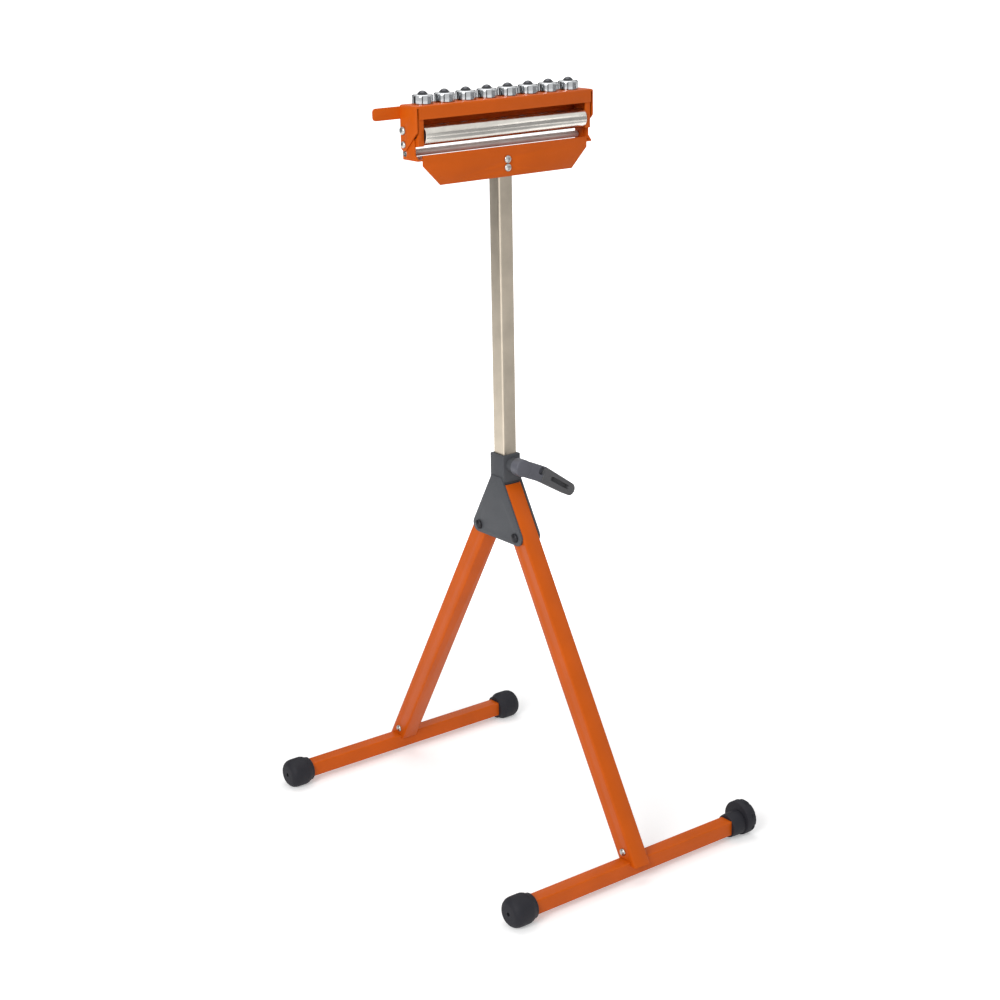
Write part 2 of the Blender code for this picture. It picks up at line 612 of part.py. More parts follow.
def build_levelling_foot():
    """Bush on the front bar's far end and the off-centre disc that turns on it."""
    foot_y = -FOOT_SPREAD
    start = BUSH_END - LEVEL_BUSH_REACH
    bush = add_turned("levelling_bush", [
        (0, BUSH_END), (LEVEL_BUSH_RADIUS - MM, BUSH_END), (LEVEL_BUSH_RADIUS, BUSH_END - MM),
        (LEVEL_BUSH_RADIUS, start + MM), (LEVEL_BUSH_RADIUS - MM, start), (0, start)],
        "X", (0, foot_y, FOOT_AXIS_Z), "foot_rubber", CAP_SEGMENTS)
    half = FOOT_WIDTH / 2 + SEAT_GAP
    socket = add_box("levelling_bush_socket", (start - 10 * MM, foot_y - half, FOOT_AXIS_Z - half),
                     (BUSH_END - BUSH_END_WALL, foot_y + half, FOOT_AXIS_Z + half))
    screw_hole = add_cylinder("levelling_screw_hole", M8[0] + HOLE_CLEARANCE, start - 10 * MM,
                              FOOT_END + 10 * MM, "X", (0, foot_y, FOOT_AXIS_Z))
    cut(bush, socket, screw_hole)

    inner = FOOT_END - DISC_THICKNESS
    centre = Vector((0, DISC_REACH - FOOT_SPREAD - CAP_RADIUS, DISC_REACH))
    disc = add_turned("levelling_disc", [
        (0, FOOT_END), (DISC_RADIUS - DISC_EDGE, FOOT_END),
        (DISC_RADIUS - DISC_EDGE * 0.3, FOOT_END - DISC_EDGE * 0.3),
        (DISC_RADIUS, FOOT_END - DISC_EDGE), (DISC_RADIUS, inner + 2 * MM),
        (DISC_RADIUS - 2 * MM, inner), (0, inner)], "X", centre, "foot_rubber")
    disc.matrix_world = (Matrix.Translation(centre)
                         @ Matrix.Rotation(math.pi / ROUND_SEGMENTS, 4, "X") @ AXIS_TURNS["X"])
    for index in range(DISC_NOTCHES):
        angle = 2 * math.pi * (index + 0.5) / DISC_NOTCHES
        notch_y = centre.y + DISC_RADIUS * math.sin(angle)
        notch_z = centre.z - DISC_RADIUS * math.cos(angle)
        cut(disc, add_cylinder(f"levelling_notch_{index + 1}", DISC_NOTCH_RADIUS,
                               FOOT_END - DISC_THICKNESS / 2, FOOT_END + MM, "X",
                               (0, notch_y, notch_z), segments=10))
    seat = FOOT_END - M8[2] - MM
    recess = add_cylinder("levelling_head_recess", M8[1] + MM, seat, FOOT_END + MM, "X",
                          (0, foot_y, FOOT_AXIS_Z))
    cut(disc, screw_hole, recess)
    screw = add_screw("levelling_screw", M8, "X", (0, foot_y, FOOT_AXIS_Z), seat, 1,
                      DISC_THICKNESS + LEVEL_SCREW_DEPTH, "zinc_fastener")
    carry(add_axis("levelling_axis", (FOOT_END, foot_y, FOOT_AXIS_Z)), disc, screw)
    return bush


def build_post():
    """Square post with the plastic guide plug in its lower end."""
    bottom = POST_BOTTOM
    post = add_square_tube("post_tube", POST_WIDTH, POST_WIDTH, bottom, POST_TOP, POST_WALL,
                           POST_CORNER, "galvanised_steel")
    inner = POST_WIDTH / 2 - POST_WALL - SEAT_GAP
    plug = add_box("post_plug", (-inner, -inner, bottom - 2 * SEAT_GAP),
                   (inner, inner, bottom + PLUG_DEPTH), "guide_plastic", POST_CORNER / 2)
    rim = POST_WIDTH / 2 - SEAT_GAP
    join(plug, add_box("plug_rim_form", (-rim, -rim, bottom - SEAT_GAP - PLUG_FLANGE),
                       (rim, rim, bottom - SEAT_GAP)))
    return post, plug


def build_yoke(post):
    """Folded yoke with its apron, the socket over the post and the cross bar between its ears."""
    low = YOKE_FLOOR_TOP - SHEET
    ear_top = HEAD_PIVOT_Z + EAR_RADIUS
    yoke = add_box("yoke_bracket", (-YOKE_EAR_OUTER, YOKE_FRONT, low),
                   (YOKE_EAR_OUTER, YOKE_BACK, ear_top), "orange_paint")
    hollow = add_box("yoke_hollow", (-EAR_INNER, YOKE_FRONT - MM, YOKE_FLOOR_TOP),
                     (EAR_INNER, YOKE_BACK + MM, ear_top + MM))
    shoulder = YOKE_FLOOR_TOP + EAR_SHOULDER_RISE
    rounded = arc((HEAD_PIVOT_Y, HEAD_PIVOT_Z), EAR_RADIUS, 135, 64, 6)
    outline = [(YOKE_FRONT, low - MM), (YOKE_FRONT, YOKE_FLOOR_TOP),
               (EAR_FRONT, YOKE_FLOOR_TOP + EAR_FOOT_RISE), (EAR_FRONT, shoulder)] + rounded
    outline += [(YOKE_BACK, rounded[-1][1]), (YOKE_BACK, low - MM)]
    ear_form = add_outline("ear_form", outline, -YOKE_EAR_OUTER - MM, YOKE_EAR_OUTER + MM, "X")
    combine(yoke, ear_form, "INTERSECT")
    cut(yoke, hollow)

    middle = APRON_HALF_LENGTH - APRON_CHAMFER
    knee = APRON_BOTTOM + APRON_CHAMFER
    apron_outline = [(-middle, APRON_BOTTOM), (middle, APRON_BOTTOM), (APRON_HALF_LENGTH, knee),
                     (APRON_HALF_LENGTH, YOKE_FLOOR_TOP + APRON_UPSTAND),
                     (-APRON_HALF_LENGTH, YOKE_FLOOR_TOP + APRON_UPSTAND), (-APRON_HALF_LENGTH, knee)]
    apron = add_outline("apron_form", apron_outline, YOKE_FRONT, YOKE_FRONT + SHEET, "Y")
    join(yoke, apron)

    socket_top = low - SEAT_GAP
    socket = add_square_tube("post_socket", SOCKET_WIDTH, SOCKET_WIDTH, socket_top - SOCKET_LENGTH,
                             socket_top, SOCKET_WIDTH / 2 - BORE_HALF, SOCKET_CORNER,
                             "orange_paint")
    bolts = []
    for place, drop in zip(("lower", "upper"), YOKE_BOLT_DROPS):
        height = YOKE_FLOOR_TOP - drop
        bore = add_cylinder(f"yoke_bolt_{place}_bore", M6[0] + HOLE_CLEARANCE, -CUTTER_REACH,
                            CUTTER_REACH, "Y", (0, 0, height))
        cut(yoke, bore)
        cut(socket, bore)
        cut(post, bore)
        bolts.append(add_bolt(f"yoke_bolt_{place}", M6, "Y", (0, 0, height), YOKE_FRONT,
                              SOCKET_WIDTH / 2, -1, "zinc_fastener"))

    bar_centre = (0, CROSS_BAR_Y, YOKE_FLOOR_TOP + CROSS_BAR_RISE)
    bar = add_cylinder("cross_bar", CROSS_BAR_RADIUS, -EAR_INNER + SEAT_GAP, EAR_INNER - SEAT_GAP,
                       "X", bar_centre, "chromed_steel")
    sink = BAR_SCREW_HEAD - BAR_SCREW_SHANK
    wide = BAR_SCREW_HEAD + HOLE_CLEARANCE * math.sqrt(2)
    narrow = BAR_SCREW_SHANK + HOLE_CLEARANCE
    countersunk = [(0, 0), (BAR_SCREW_HEAD, 0), (BAR_SCREW_SHANK, -sink),
                   (BAR_SCREW_SHANK, -BAR_SCREW_DEPTH), (0, -BAR_SCREW_DEPTH)]
    sinking = [(0, MM), (wide + MM, MM), (narrow, narrow - wide),
               (narrow, -BAR_SCREW_DEPTH - SEAT_GAP), (0, -BAR_SCREW_DEPTH - SEAT_GAP)]
    screws = []
    for side, sign in (("left", -1), ("right", 1)):
        pivot_bore = add_cylinder(f"{side}_ear_bore", HEAD_BOLT[0] + HOLE_CLEARANCE,
                                  sign * YOKE_EAR_OUTER - 3 * MM, sign * YOKE_EAR_OUTER + 3 * MM, "X",
                                  (0, HEAD_PIVOT_Y, HEAD_PIVOT_Z))
        ear = sign * YOKE_EAR_OUTER
        screw_bore = add_fastener(f"{side}_bar_bore", sinking, "X", bar_centre, ear, sign)
        cut(yoke, pivot_bore, screw_bore)
        cut(bar, screw_bore)
        screws.append(add_fastener(f"cross_bar_screw_{side}", countersunk, "X", bar_centre, ear, sign,
                                   "zinc_fastener"))
    return [yoke, socket, bar] + bolts + screws


def end_plate_outline():
    """Side outline of the head's end plates: a slope that runs into a round about the lower screw."""
    tail = Vector((TAIL_Y, TAIL_Z))
    corner = Vector((HEAD_FRONT, HEAD_TOP - END_FRONT_DROP))
    to_tail = tail - corner
    slope = math.degrees(math.atan2(to_tail.y, to_tail.x) - math.asin(TAIL_RADIUS / to_tail.length))
    return [(HEAD_BACK, HEAD_TOP), (HEAD_FRONT, HEAD_TOP), tuple(corner)] + arc(
        tail, TAIL_RADIUS, slope - 90, 0, 8)


def build_head():
    """Folded head with its end plates, grab tab, roller brackets and pivot bolts."""
    bottom = TAIL_Z - TAIL_RADIUS - 2 * MM
    bm = bmesh.new()
    bmesh.ops.create_cube(bm, size=1)
    size = Vector((2 * HEAD_HALF_LENGTH, HEAD_BACK - HEAD_FRONT, HEAD_TOP - bottom))
    bmesh.ops.scale(bm, vec=size, verts=bm.verts)
    bmesh.ops.translate(bm, vec=(0, (HEAD_FRONT + HEAD_BACK) / 2, (HEAD_TOP + bottom) / 2), verts=bm.verts)
    underside = [face for face in bm.faces if face.normal.z < -0.5]
    bmesh.ops.delete(bm, geom=underside, context="FACES_ONLY")
    head = add_object("head_cassette", mesh_from(bm, "head_cassette"), "orange_paint")
    add_bevel(head, HEAD_BEND)
    add_wall(head, SHEET)

    inside = HEAD_HALF_LENGTH - SHEET - SEAT_GAP
    wide = (HEAD_HALF_LENGTH + MM, HEAD_FRONT - MM, HEAD_BACK + MM)
    front_open = add_box("front_opening", (-inside, HEAD_FRONT - MM, bottom - MM),
                         (inside, HEAD_FRONT + SHEET + 3 * MM, HEAD_TOP - BAND_HEIGHT))
    back_open = add_box("back_opening", (-inside, HEAD_BACK - SHEET - 3 * MM, bottom - MM),
                        (inside, HEAD_BACK + MM, HEAD_TOP - BACK_FLANGE_HEIGHT))
    cut(head, front_open, back_open)
    for side, sign in (("left", -1), ("right", 1)):
        edge = sorted((sign * BAND_END, sign * inside))
        slit_top = HEAD_TOP - HEAD_BEND - MM
        front_slit = add_box(f"{side}_front_slit", (edge[0], HEAD_FRONT - MM, bottom),
                             (edge[1], HEAD_FRONT + SHEET + MM, slit_top))
        cut(head, front_slit)
        back_top = slit_top if sign > 0 else HEAD_TOP - TAB_HEIGHT
        back_slit = add_box(f"{side}_back_slit", (edge[0], HEAD_BACK - SHEET - MM, bottom),
                            (edge[1], HEAD_BACK + MM, back_top))
        cut(head, back_slit)
    profile = add_outline("end_plate_form", [(wide[2], HEAD_TOP + MM), (wide[1], HEAD_TOP + MM),
                                             (wide[1], HEAD_TOP - END_FRONT_DROP)]
                          + end_plate_outline()[2:] + [(wide[2], end_plate_outline()[-1][1])],
                          -wide[0], wide[0], "X")
    combine(head, profile, "INTERSECT")

    tab_low = HEAD_TOP - TAB_HEIGHT
    tip = -HEAD_HALF_LENGTH - TAB_REACH
    tab_outline = ([(-HEAD_HALF_LENGTH + TAB_CORNER, HEAD_TOP - HEAD_BEND)]
                   + arc((tip + TAB_CORNER, HEAD_TOP - HEAD_BEND - TAB_CORNER), TAB_CORNER, 90, 180, 4)
                   + arc((tip + TAB_CORNER, tab_low + TAB_CORNER), TAB_CORNER, 180, 270, 4)
                   + [(-HEAD_HALF_LENGTH + TAB_CORNER, tab_low)])
    join(head, add_outline("tab_form", tab_outline, HEAD_BACK - SHEET, HEAD_BACK, "Y"))

    unit_places = [(index - (BALL_COUNT - 1) / 2) * BALL_PITCH for index in range(BALL_COUNT)]
    for index, x in enumerate(unit_places):
        cut(head, add_cylinder(f"unit_bore_{index + 1}", CUP_STEM_RADIUS + HOLE_CLEARANCE,
                               HEAD_TOP - 8 * MM, HEAD_TOP + 8 * MM, "Z", (x, BALL_Y, 0), segments=16))

    pieces = [head]
    axle_reach = WEB_OUTER
    for side, sign in (("left", -1), ("right", 1)):
        pieces += build_roller_bracket(side, sign)
        cut(head, add_cylinder(f"{side}_end_bore", HEAD_BOLT[0] + HOLE_CLEARANCE,
                               sign * HEAD_HALF_LENGTH - 5 * MM, sign * HEAD_HALF_LENGTH + 5 * MM, "X",
                               (0, HEAD_PIVOT_Y, HEAD_PIVOT_Z)))
        pieces.append(add_bolt(f"head_pivot_bolt_{side}", HEAD_BOLT, "X",
                               (0, HEAD_PIVOT_Y, HEAD_PIVOT_Z), sign * HEAD_HALF_LENGTH,
                               sign * (WEB_OUTER - SHEET), sign, "zinc_fastener"))
        tail = (0, TAIL_Y, TAIL_Z)
        cut(head, add_cylinder(f"{side}_detent_bore", DETENT_SCREW[0] + HOLE_CLEARANCE,
                               sign * HEAD_HALF_LENGTH - 5 * MM, sign * HEAD_HALF_LENGTH + 5 * MM, "X",
                               tail, segments=FASTENER_SEGMENTS))
        pieces.append(add_screw(f"detent_screw_{side}", DETENT_SCREW, "X", tail, sign * HEAD_HALF_LENGTH,
                                sign, SHEET + EAR_PLAY, "zinc_fastener"))
    pieces.append(add_cylinder("roller_axle", AXLE_RADIUS, -axle_reach, axle_reach, "X",
                               (0, ROLLER_Y, ROLLER_Z), "zinc_fastener"))
    cups, balls = build_ball_units(unit_places)
    return pieces + cups, balls


def build_roller_bracket(side, sign):
    """Folded bracket inside one end of the head: web, front flange and shelf."""
    top = HEAD_TOP - SHEET - SEAT_GAP
    front = HEAD_FRONT + SHEET + SEAT_GAP
    flange_low = HEAD_PIVOT_Z - BRACKET_FLANGE_DROP
    foot = YOKE_FLOOR_TOP + BRACKET_FOOT_GAP
    back = HEAD_BACK - SHEET - SEAT_GAP
    swing = arc((HEAD_PIVOT_Y, HEAD_PIVOT_Z), BRACKET_SWING, -115, -math.degrees(math.acos(
        (back - HEAD_PIVOT_Y) / BRACKET_SWING)), 6)
    outline = [(back, top), (front, top), (front, flange_low), (BRACKET_FOOT_FRONT, flange_low - SHEET),
               (BRACKET_FOOT_FRONT, foot), (BRACKET_FOOT_BACK, foot)] + swing
    web_edge = sorted((sign * WEB_OUTER, sign * (WEB_OUTER - SHEET)))
    bracket = add_outline(f"roller_bracket_{side}", outline, *web_edge, "X", "orange_paint")
    flange_edge = sorted((sign * (WEB_OUTER - SHEET / 2), sign * (WEB_OUTER - BRACKET_FLANGE)))
    flange = add_box(f"{side}_flange_form", (flange_edge[0], front, flange_low),
                     (flange_edge[1], front + SHEET, top))
    shelf_edge = sorted((sign * (WEB_OUTER - SHEET / 2), sign * (WEB_OUTER - BRACKET_SHELF)))
    shelf = add_box(f"{side}_shelf_form", (shelf_edge[0], front + SHEET / 2, top - SHEET),
                    (shelf_edge[1], back, top))
    join(bracket, flange, shelf)
    for place, radius, y, z in (("pivot", HEAD_BOLT[0], HEAD_PIVOT_Y, HEAD_PIVOT_Z),
                                ("axle", AXLE_RADIUS, ROLLER_Y, ROLLER_Z)):
        cut(bracket, add_cylinder(f"{side}_{place}_web_bore", radius + HOLE_CLEARANCE,
                                  web_edge[0] - 3 * MM, web_edge[1] + 3 * MM, "X", (0, y, z)))
    return [bracket]


def build_roller():
    """Roller tube with a bearing housing and a bearing ring at each end."""
    inner = ROLLER_RADIUS - ROLLER_WALL
    centre = (0, ROLLER_Y, ROLLER_Z)
    half = ROLLER_HALF_LENGTH
    tube = add_turned("roller_tube", [(ROLLER_RADIUS - 0.5 * MM, half), (ROLLER_RADIUS, half - 0.5 * MM),
                                      (ROLLER_RADIUS, 0.5 * MM - half),
                                      (ROLLER_RADIUS - 0.5 * MM, -half), (inner, -half), (inner, half)],
                      "X", centre, "roller_steel", closed=True)
    pieces = [tube]
    for side, sign in (("left", -1), ("right", 1)):
        face = half - MM
        depth = BEARING_WIDTH + 3 * MM
        housing = add_turned(f"roller_end_{side}", [
            (inner - SEAT_GAP, sign * face if sign > 0 else -face + depth),
            (inner - SEAT_GAP, sign * face - depth if sign > 0 else -face),
            (BEARING_RADIUS + SEAT_GAP, sign * face - depth if sign > 0 else -face),
            (BEARING_RADIUS + SEAT_GAP, sign * face if sign > 0 else -face + depth)],
            "X", centre, "guide_plastic", SMALL_SEGMENTS, closed=True)
        high = sign * (face - 1.5 * MM) if sign > 0 else -face + 1.5 * MM + BEARING_WIDTH
        ring = add_turned(f"roller_bearing_{side}", [
            (BEARING_RADIUS, high), (BEARING_RADIUS, high - BEARING_WIDTH),
            (AXLE_RADIUS + HOLE_CLEARANCE, high - BEARING_WIDTH), (AXLE_RADIUS + HOLE_CLEARANCE, high)],
            "X", centre, "zinc_fastener", SMALL_SEGMENTS, closed=True)
        pieces += [housing, ring]
    return pieces


def build_ball_units(places):
    """Row of screwed ball units: a cup with its stem and nut, and the ball it holds."""
    base = HEAD_TOP + SEAT_GAP
    rim = base + CUP_HEIGHT
    ball_z = rim + BALL_SHOW - BALL_RADIUS
    cavity = BALL_RADIUS + BALL_CLEARANCE
    opening = math.degrees(math.asin((rim - ball_z) / cavity))
    hollow = arc((0, ball_z), cavity, -90, opening, 5)
    nut_top = HEAD_TOP - SHEET - SEAT_GAP
    nut_low = nut_top - CUP_NUT_HEIGHT
    profile = [(max(radius, 0), height) for radius, height in hollow]
    profile[0] = (0, profile[0][1])
    profile += [(CUP_RADIUS - CUP_RIM, rim), (CUP_RADIUS, rim - CUP_RIM), (CUP_RADIUS, base),
                (CUP_STEM_RADIUS, base), (CUP_STEM_RADIUS, nut_top), (CUP_NUT_RADIUS, nut_top),
                (CUP_NUT_RADIUS, nut_low), (0, nut_low)]
    cups, balls = [], []
    for index, x in enumerate(places):
        cups.append(add_turned(f"ball_cup_{index + 1}", profile, "Z", (x, BALL_Y, 0),
                               "chromed_steel", SMALL_SEGMENTS))
        bm = bmesh.new()
        bmesh.ops.create_uvsphere(bm, u_segments=12, v_segments=8, radius=BALL_RADIUS)
        ball = add_object(f"ball_{index + 1}", mesh_from(bm, f"ball_{index + 1}"), "chromed_steel")
        ball.location = (x, BALL_Y, ball_z)
        ball.data.shade_smooth()
        balls.append(ball)
    return cups, balls


def lever_point(distance, across):
    """Point of the grip in (x, z), measured along it and across it from the end of the stub."""
    joint = Vector((math.cos(LEVER_STUB_DROP), -math.sin(LEVER_STUB_DROP))) * LEVER_STUB_LENGTH
    along = Vector((math.cos(GRIP_DROP), -math.sin(GRIP_DROP)))
    side = Vector((-along.y, along.x))
    point = joint + along * distance + side * across
    return (point.x, CLAMP_Z + point.y)


def build_clamp():
    """Clamp lever: cast hub with a stub, moulded grip, stud and pressure pad."""
    back = CLAMP_FACE - SEAT_GAP
    front = back - LEVER_THICKNESS
    hub = add_cylinder("lever_hub", LEVER_HUB_RADIUS, front, back, "Y", (0, 0, CLAMP_Z),
                       "lever_casting", segments=24)
    add_bevel(hub, 1.2 * MM, 1)
    along = Vector((math.cos(LEVER_STUB_DROP), -math.sin(LEVER_STUB_DROP)))
    side = Vector((-along.y, along.x))

    def stub_point(distance, across):
        point = along * distance + side * across
        return (point.x, CLAMP_Z + point.y)

    stub = add_outline("stub_form", [stub_point(0, LEVER_STUB_HALF), stub_point(0, -LEVER_STUB_HALF),
                                     stub_point(LEVER_STUB_LENGTH, -LEVER_STUB_HALF),
                                     stub_point(LEVER_STUB_LENGTH, LEVER_STUB_HALF)],
                       front + MM, back - MM, "Y")
    join(hub, stub)
    stud_bore = add_cylinder("lever_stud_bore", STUD_RADIUS + HOLE_CLEARANCE, front + 4 * MM, back + MM,
                             "Y", (0, 0, CLAMP_Z))
    cut(hub, stud_bore)

    turn = math.degrees(GRIP_DROP - LEVER_STUB_DROP)
    lean = math.tan(math.radians(turn))
    start_top, start_low = SEAT_GAP - LEVER_STUB_HALF * lean, SEAT_GAP + LEVER_STUB_HALF * lean
    tip_arc = arc((GRIP_LENGTH, 0), GRIP_TIP_RADIUS, -90, 90, 8)
    outline = [lever_point(start_top, LEVER_STUB_HALF), lever_point(start_low, -LEVER_STUB_HALF)]
    outline += [lever_point(distance, across) for distance, across in tip_arc]
    grip = add_outline("lever_grip", outline, front, back - MM, "Y", "grip_plastic")
    add_bevel(grip, GRIP_EDGE)
    slot = [lever_point(distance, across) for distance, across in (
        (GRIP_SLOT_START, -GRIP_SLOT_HALF), (GRIP_SLOT_END, -GRIP_SLOT_HALF),
        (GRIP_SLOT_END, GRIP_SLOT_HALF), (GRIP_SLOT_START, GRIP_SLOT_HALF))]
    cut(grip, add_outline("grip_slot_form", slot, front - MM, front + GRIP_SLOT_DEPTH, "Y"))

    pad_face = -POST_WIDTH / 2 - SEAT_GAP
    stud = add_cylinder("clamp_stud", STUD_RADIUS, front + 4 * MM + SEAT_GAP,
                        pad_face - PAD_THICKNESS, "Y", (0, 0, CLAMP_Z), "zinc_fastener")
    add_cylinder("pressure_pad", PAD_RADIUS, pad_face - PAD_THICKNESS + SEAT_GAP, pad_face, "Y",
                 (0, 0, CLAMP_Z), "guide_plastic")
    carry(add_axis("clamp_axis", (0, front, CLAMP_Z)), hub, grip, stud)


def main():
    build_hub()
    rear_axis = build_leg("rear", 1)
    front_axis = build_leg("front", -1)
    carry(rear_axis, add_end_cap("rear_left_cap", -1, FOOT_SPREAD),
          add_end_cap("rear_right_cap", 1, FOOT_SPREAD))
    carry(front_axis, add_end_cap("front_left_cap", -1, -FOOT_SPREAD), build_levelling_foot())
    post, plug = build_post()
    yoke_pieces = build_yoke(post)
    carry(add_axis("post_slide", (0, 0, COLLAR_TOP)), post, plug, *yoke_pieces)
    head_pieces, balls = build_head()
    carry(add_axis("head_axis", (0, HEAD_PIVOT_Y, HEAD_PIVOT_Z)), *head_pieces)
    carry(add_axis("roller_spin_axis", (0, ROLLER_Y, ROLLER_Z)), *build_roller())
    build_clamp()


main()
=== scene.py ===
import json
import math

import bpy
from mathutils import Matrix, Vector


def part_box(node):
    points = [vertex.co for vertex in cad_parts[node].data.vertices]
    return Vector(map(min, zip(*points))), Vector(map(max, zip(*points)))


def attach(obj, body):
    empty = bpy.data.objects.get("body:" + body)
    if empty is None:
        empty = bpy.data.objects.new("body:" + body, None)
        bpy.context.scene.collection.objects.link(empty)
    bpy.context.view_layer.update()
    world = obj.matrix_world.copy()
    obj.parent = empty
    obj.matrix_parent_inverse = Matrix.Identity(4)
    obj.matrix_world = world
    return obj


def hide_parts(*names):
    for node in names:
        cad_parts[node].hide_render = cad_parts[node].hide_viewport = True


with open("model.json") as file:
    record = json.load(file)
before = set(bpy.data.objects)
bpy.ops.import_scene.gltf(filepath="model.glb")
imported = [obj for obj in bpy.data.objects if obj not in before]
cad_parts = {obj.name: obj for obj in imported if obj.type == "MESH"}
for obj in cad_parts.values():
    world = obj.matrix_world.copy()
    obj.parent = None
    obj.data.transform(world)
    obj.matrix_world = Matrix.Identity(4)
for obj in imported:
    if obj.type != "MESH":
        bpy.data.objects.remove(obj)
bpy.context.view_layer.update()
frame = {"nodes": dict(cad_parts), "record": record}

bl_info = {
    "name": "Roller Stand",
    "version": (1, 0, 0),
    "blender": (4, 5, 0),
    "location": "View3D > Sidebar > Roller Stand",
    "description": "Dresses a folding roller stand with its finished pieces and materials",
    "category": "Object",
}

MM = 0.001

# Turns that point a piece made about Z along an axis
TURNS = {"X": (0, math.pi / 2, 0), "-X": (0, -math.pi / 2, 0), "-Y": (math.pi / 2, 0, 0), "Z": (0, 0, 0)}

# Points closer than this are one, and a cutter reaches this far past the face that it cuts
MERGE = 0.01 * MM
CUT_CLEAR = 1 * MM

# Sides of turned pieces, and of the holes cut in them
ROUND_SIDES = 48
LARGE_SIDES = 64
BOLT_SIDES = 36
HOLE_SIDES = 24
RECESS_SIDES = 32
HEX_SIDES = 6

# Rounding of worked edges that turn by more than the angle
SHEET_EDGE = 0.45 * MM
CAST_EDGE = 1.4 * MM
GRIP_EDGE = 2.2 * MM / 3
EDGE_ANGLE = math.radians(35)

# Square tubes
TUBE_WALL = 1.5 * MM
POST_CORNER = 2.2 * MM
BAR_CORNER = 2.4 * MM

# Rubber ends
BAR_HALF = 12.3 * MM
CAP_END_WALL = 5.6 * MM
BUSH_END_WALL = 4 * MM
FLAT_REACH = 60 * MM
VENT_RADIUS = 3.2 * MM
VENT_DEPTH = 10 * MM
DISC_FLUTES = 8
FLUTE_RADIUS = 4.5 * MM
FLUTE_DEPTH = 11 * MM
FLUTE_OFFSET = 1.5 * MM

# Clamp lever: its recess beside the joint, and the long slot in the grip
STUB_DROP = math.radians(24)
STUB_LENGTH = 42 * MM
GRIP_DROP = math.radians(33)
RECESS_DISTANCE = 37.5 * MM
RECESS_RISE = 4.5 * MM
RECESS_RADIUS = 6.2 * MM
RECESS_DEPTH = 6 * MM
SLOT_MIDDLE = 38 * MM
SLOT_RISE = 1 * MM
SLOT_LENGTH = 43 * MM
SLOT_WIDTH = 6.4 * MM
SLOT_DEPTH = 8 * MM

# Fasteners: shank radius, head radius, head height, nut radius, nut height
M8 = (4 * MM, 7.5 * MM, 5 * MM, 7.2 * MM, 6 * MM)
M6 = (3 * MM, 5.8 * MM, 3.6 * MM, 5.6 * MM, 5 * MM)
PIVOT_M8 = (4 * MM, 6 * MM, 4 * MM, 5.6 * MM, 4 * MM)
DETENT_M6 = (3 * MM, 5 * MM, 3.5 * MM)
COUNTERSUNK_M5 = (2.5 * MM, 4.4 * MM)
BOLT_TIP = 2 * MM
TIP_SHARE = 0.8
TIP_CHAMFER = 0.5 * MM
NUT_CORNER_SHARE = 0.92
NUT_EDGE = 0.6 * MM
SOCKET_RADIUS = 1.6 * MM
SOCKET_DEPTH = 1.2 * MM
HEAD_LAND = 0.1 * MM
DOME_STEPS = 6
DOME_STEP_ANGLE = math.radians(14)
CROSS_BAR_CHAMFER = 0.8 * MM

# Ball units
BALL_COUNT = 8
BALL_RADIUS = 8 * MM
CUP_HEIGHT = 14 * MM
CUP_NUT_RADIUS = 6.5 * MM
CUP_NUT_HEIGHT = 5 * MM
CUP_STEM_RADIUS = 4 * MM
STEM_SHOW = 1 * MM

# Roller: how far its turned-in ends reach inwards
ROLLER_LIP = 1.2 * MM

# Floor, just under the rubber ends; it fades to pure white between two distances from the stand
FLOOR_DROP = 0.2 * MM
SHADE_START = 0.5
SHADE_END = 1.3
SHADE_LIGHT = 0.33

# Strength of the surroundings as a light, which to the eye are pure white
AMBIENT = 0.42

# Lamps: name, place, width of the round lamp, power in watts; they point at the stand's middle
LAMP_AIM = (0, 0, 0.6)
LAMPS = (
    ("key_lamp", (-3.0, -1.6, 2.4), 1.8, 80),
    ("fill_lamp", (2.6, -2.2, 1.6), 2.2, 10),
    ("top_lamp", (0.2, 0.6, 3.4), 2.4, 25),
)

# Studio cards: name, middle, width, height, grey; they face the stand, and a low one lies flat
LOW_CARD = 0.1
CARDS = (
    ("card_behind_camera", (-2.7, -3.3, 1.2), 0.8, 3.2, 0x3A3A3C),
    ("card_back_left", (-2.4, 2.4, 1.2), 2.4, 3.2, 0x5A5A5C),
    ("card_back", (0.6, 3.2, 1.2), 2.2, 3.2, 0x3A3A3C),
    ("card_back_right", (2.8, 1.6, 1.2), 1.8, 3.2, 0x3A3A3C),
    ("card_right", (3.4, -1.4, 1.0), 0.8, 3.2, 0x4A4A4C),
    ("card_front_right", (2.0, -2.5, 1.15), 2.6, 1.7, 0xC4C4C6),
    ("card_line", (1.95, -2.45, 1.95), 2.6, 0.16, 0x202022),
    ("card_on_floor", (1.4, -1.7, 0.01), 1.9, 2.2, 0xCECED0),
)

# Materials by their slot's name, with two more for pieces that differ within a slot
FINISHES = {}


def linear(hex_value):
    """Linear colour of an sRGB hex value."""
    channels = []
    for shift in (16, 8, 0):
        value = (hex_value >> shift & 255) / 255
        channels.append(value / 12.92 if value <= 0.04045 else ((value + 0.055) / 1.055) ** 2.4)
    return tuple(channels)


# Materials

def add_node(tree, kind, settings=None, values=None, links=None):
    """Add a node with its settings, its socket values and the outputs linked to its sockets."""
    node = tree.nodes.new(kind)
    for name, value in (settings or {}).items():
        setattr(node, name, value)
    for name, value in (values or {}).items():
        node.inputs[name].default_value = value
    for name, output in (links or {}).items():
        tree.links.new(output, node.inputs[name])
    return node


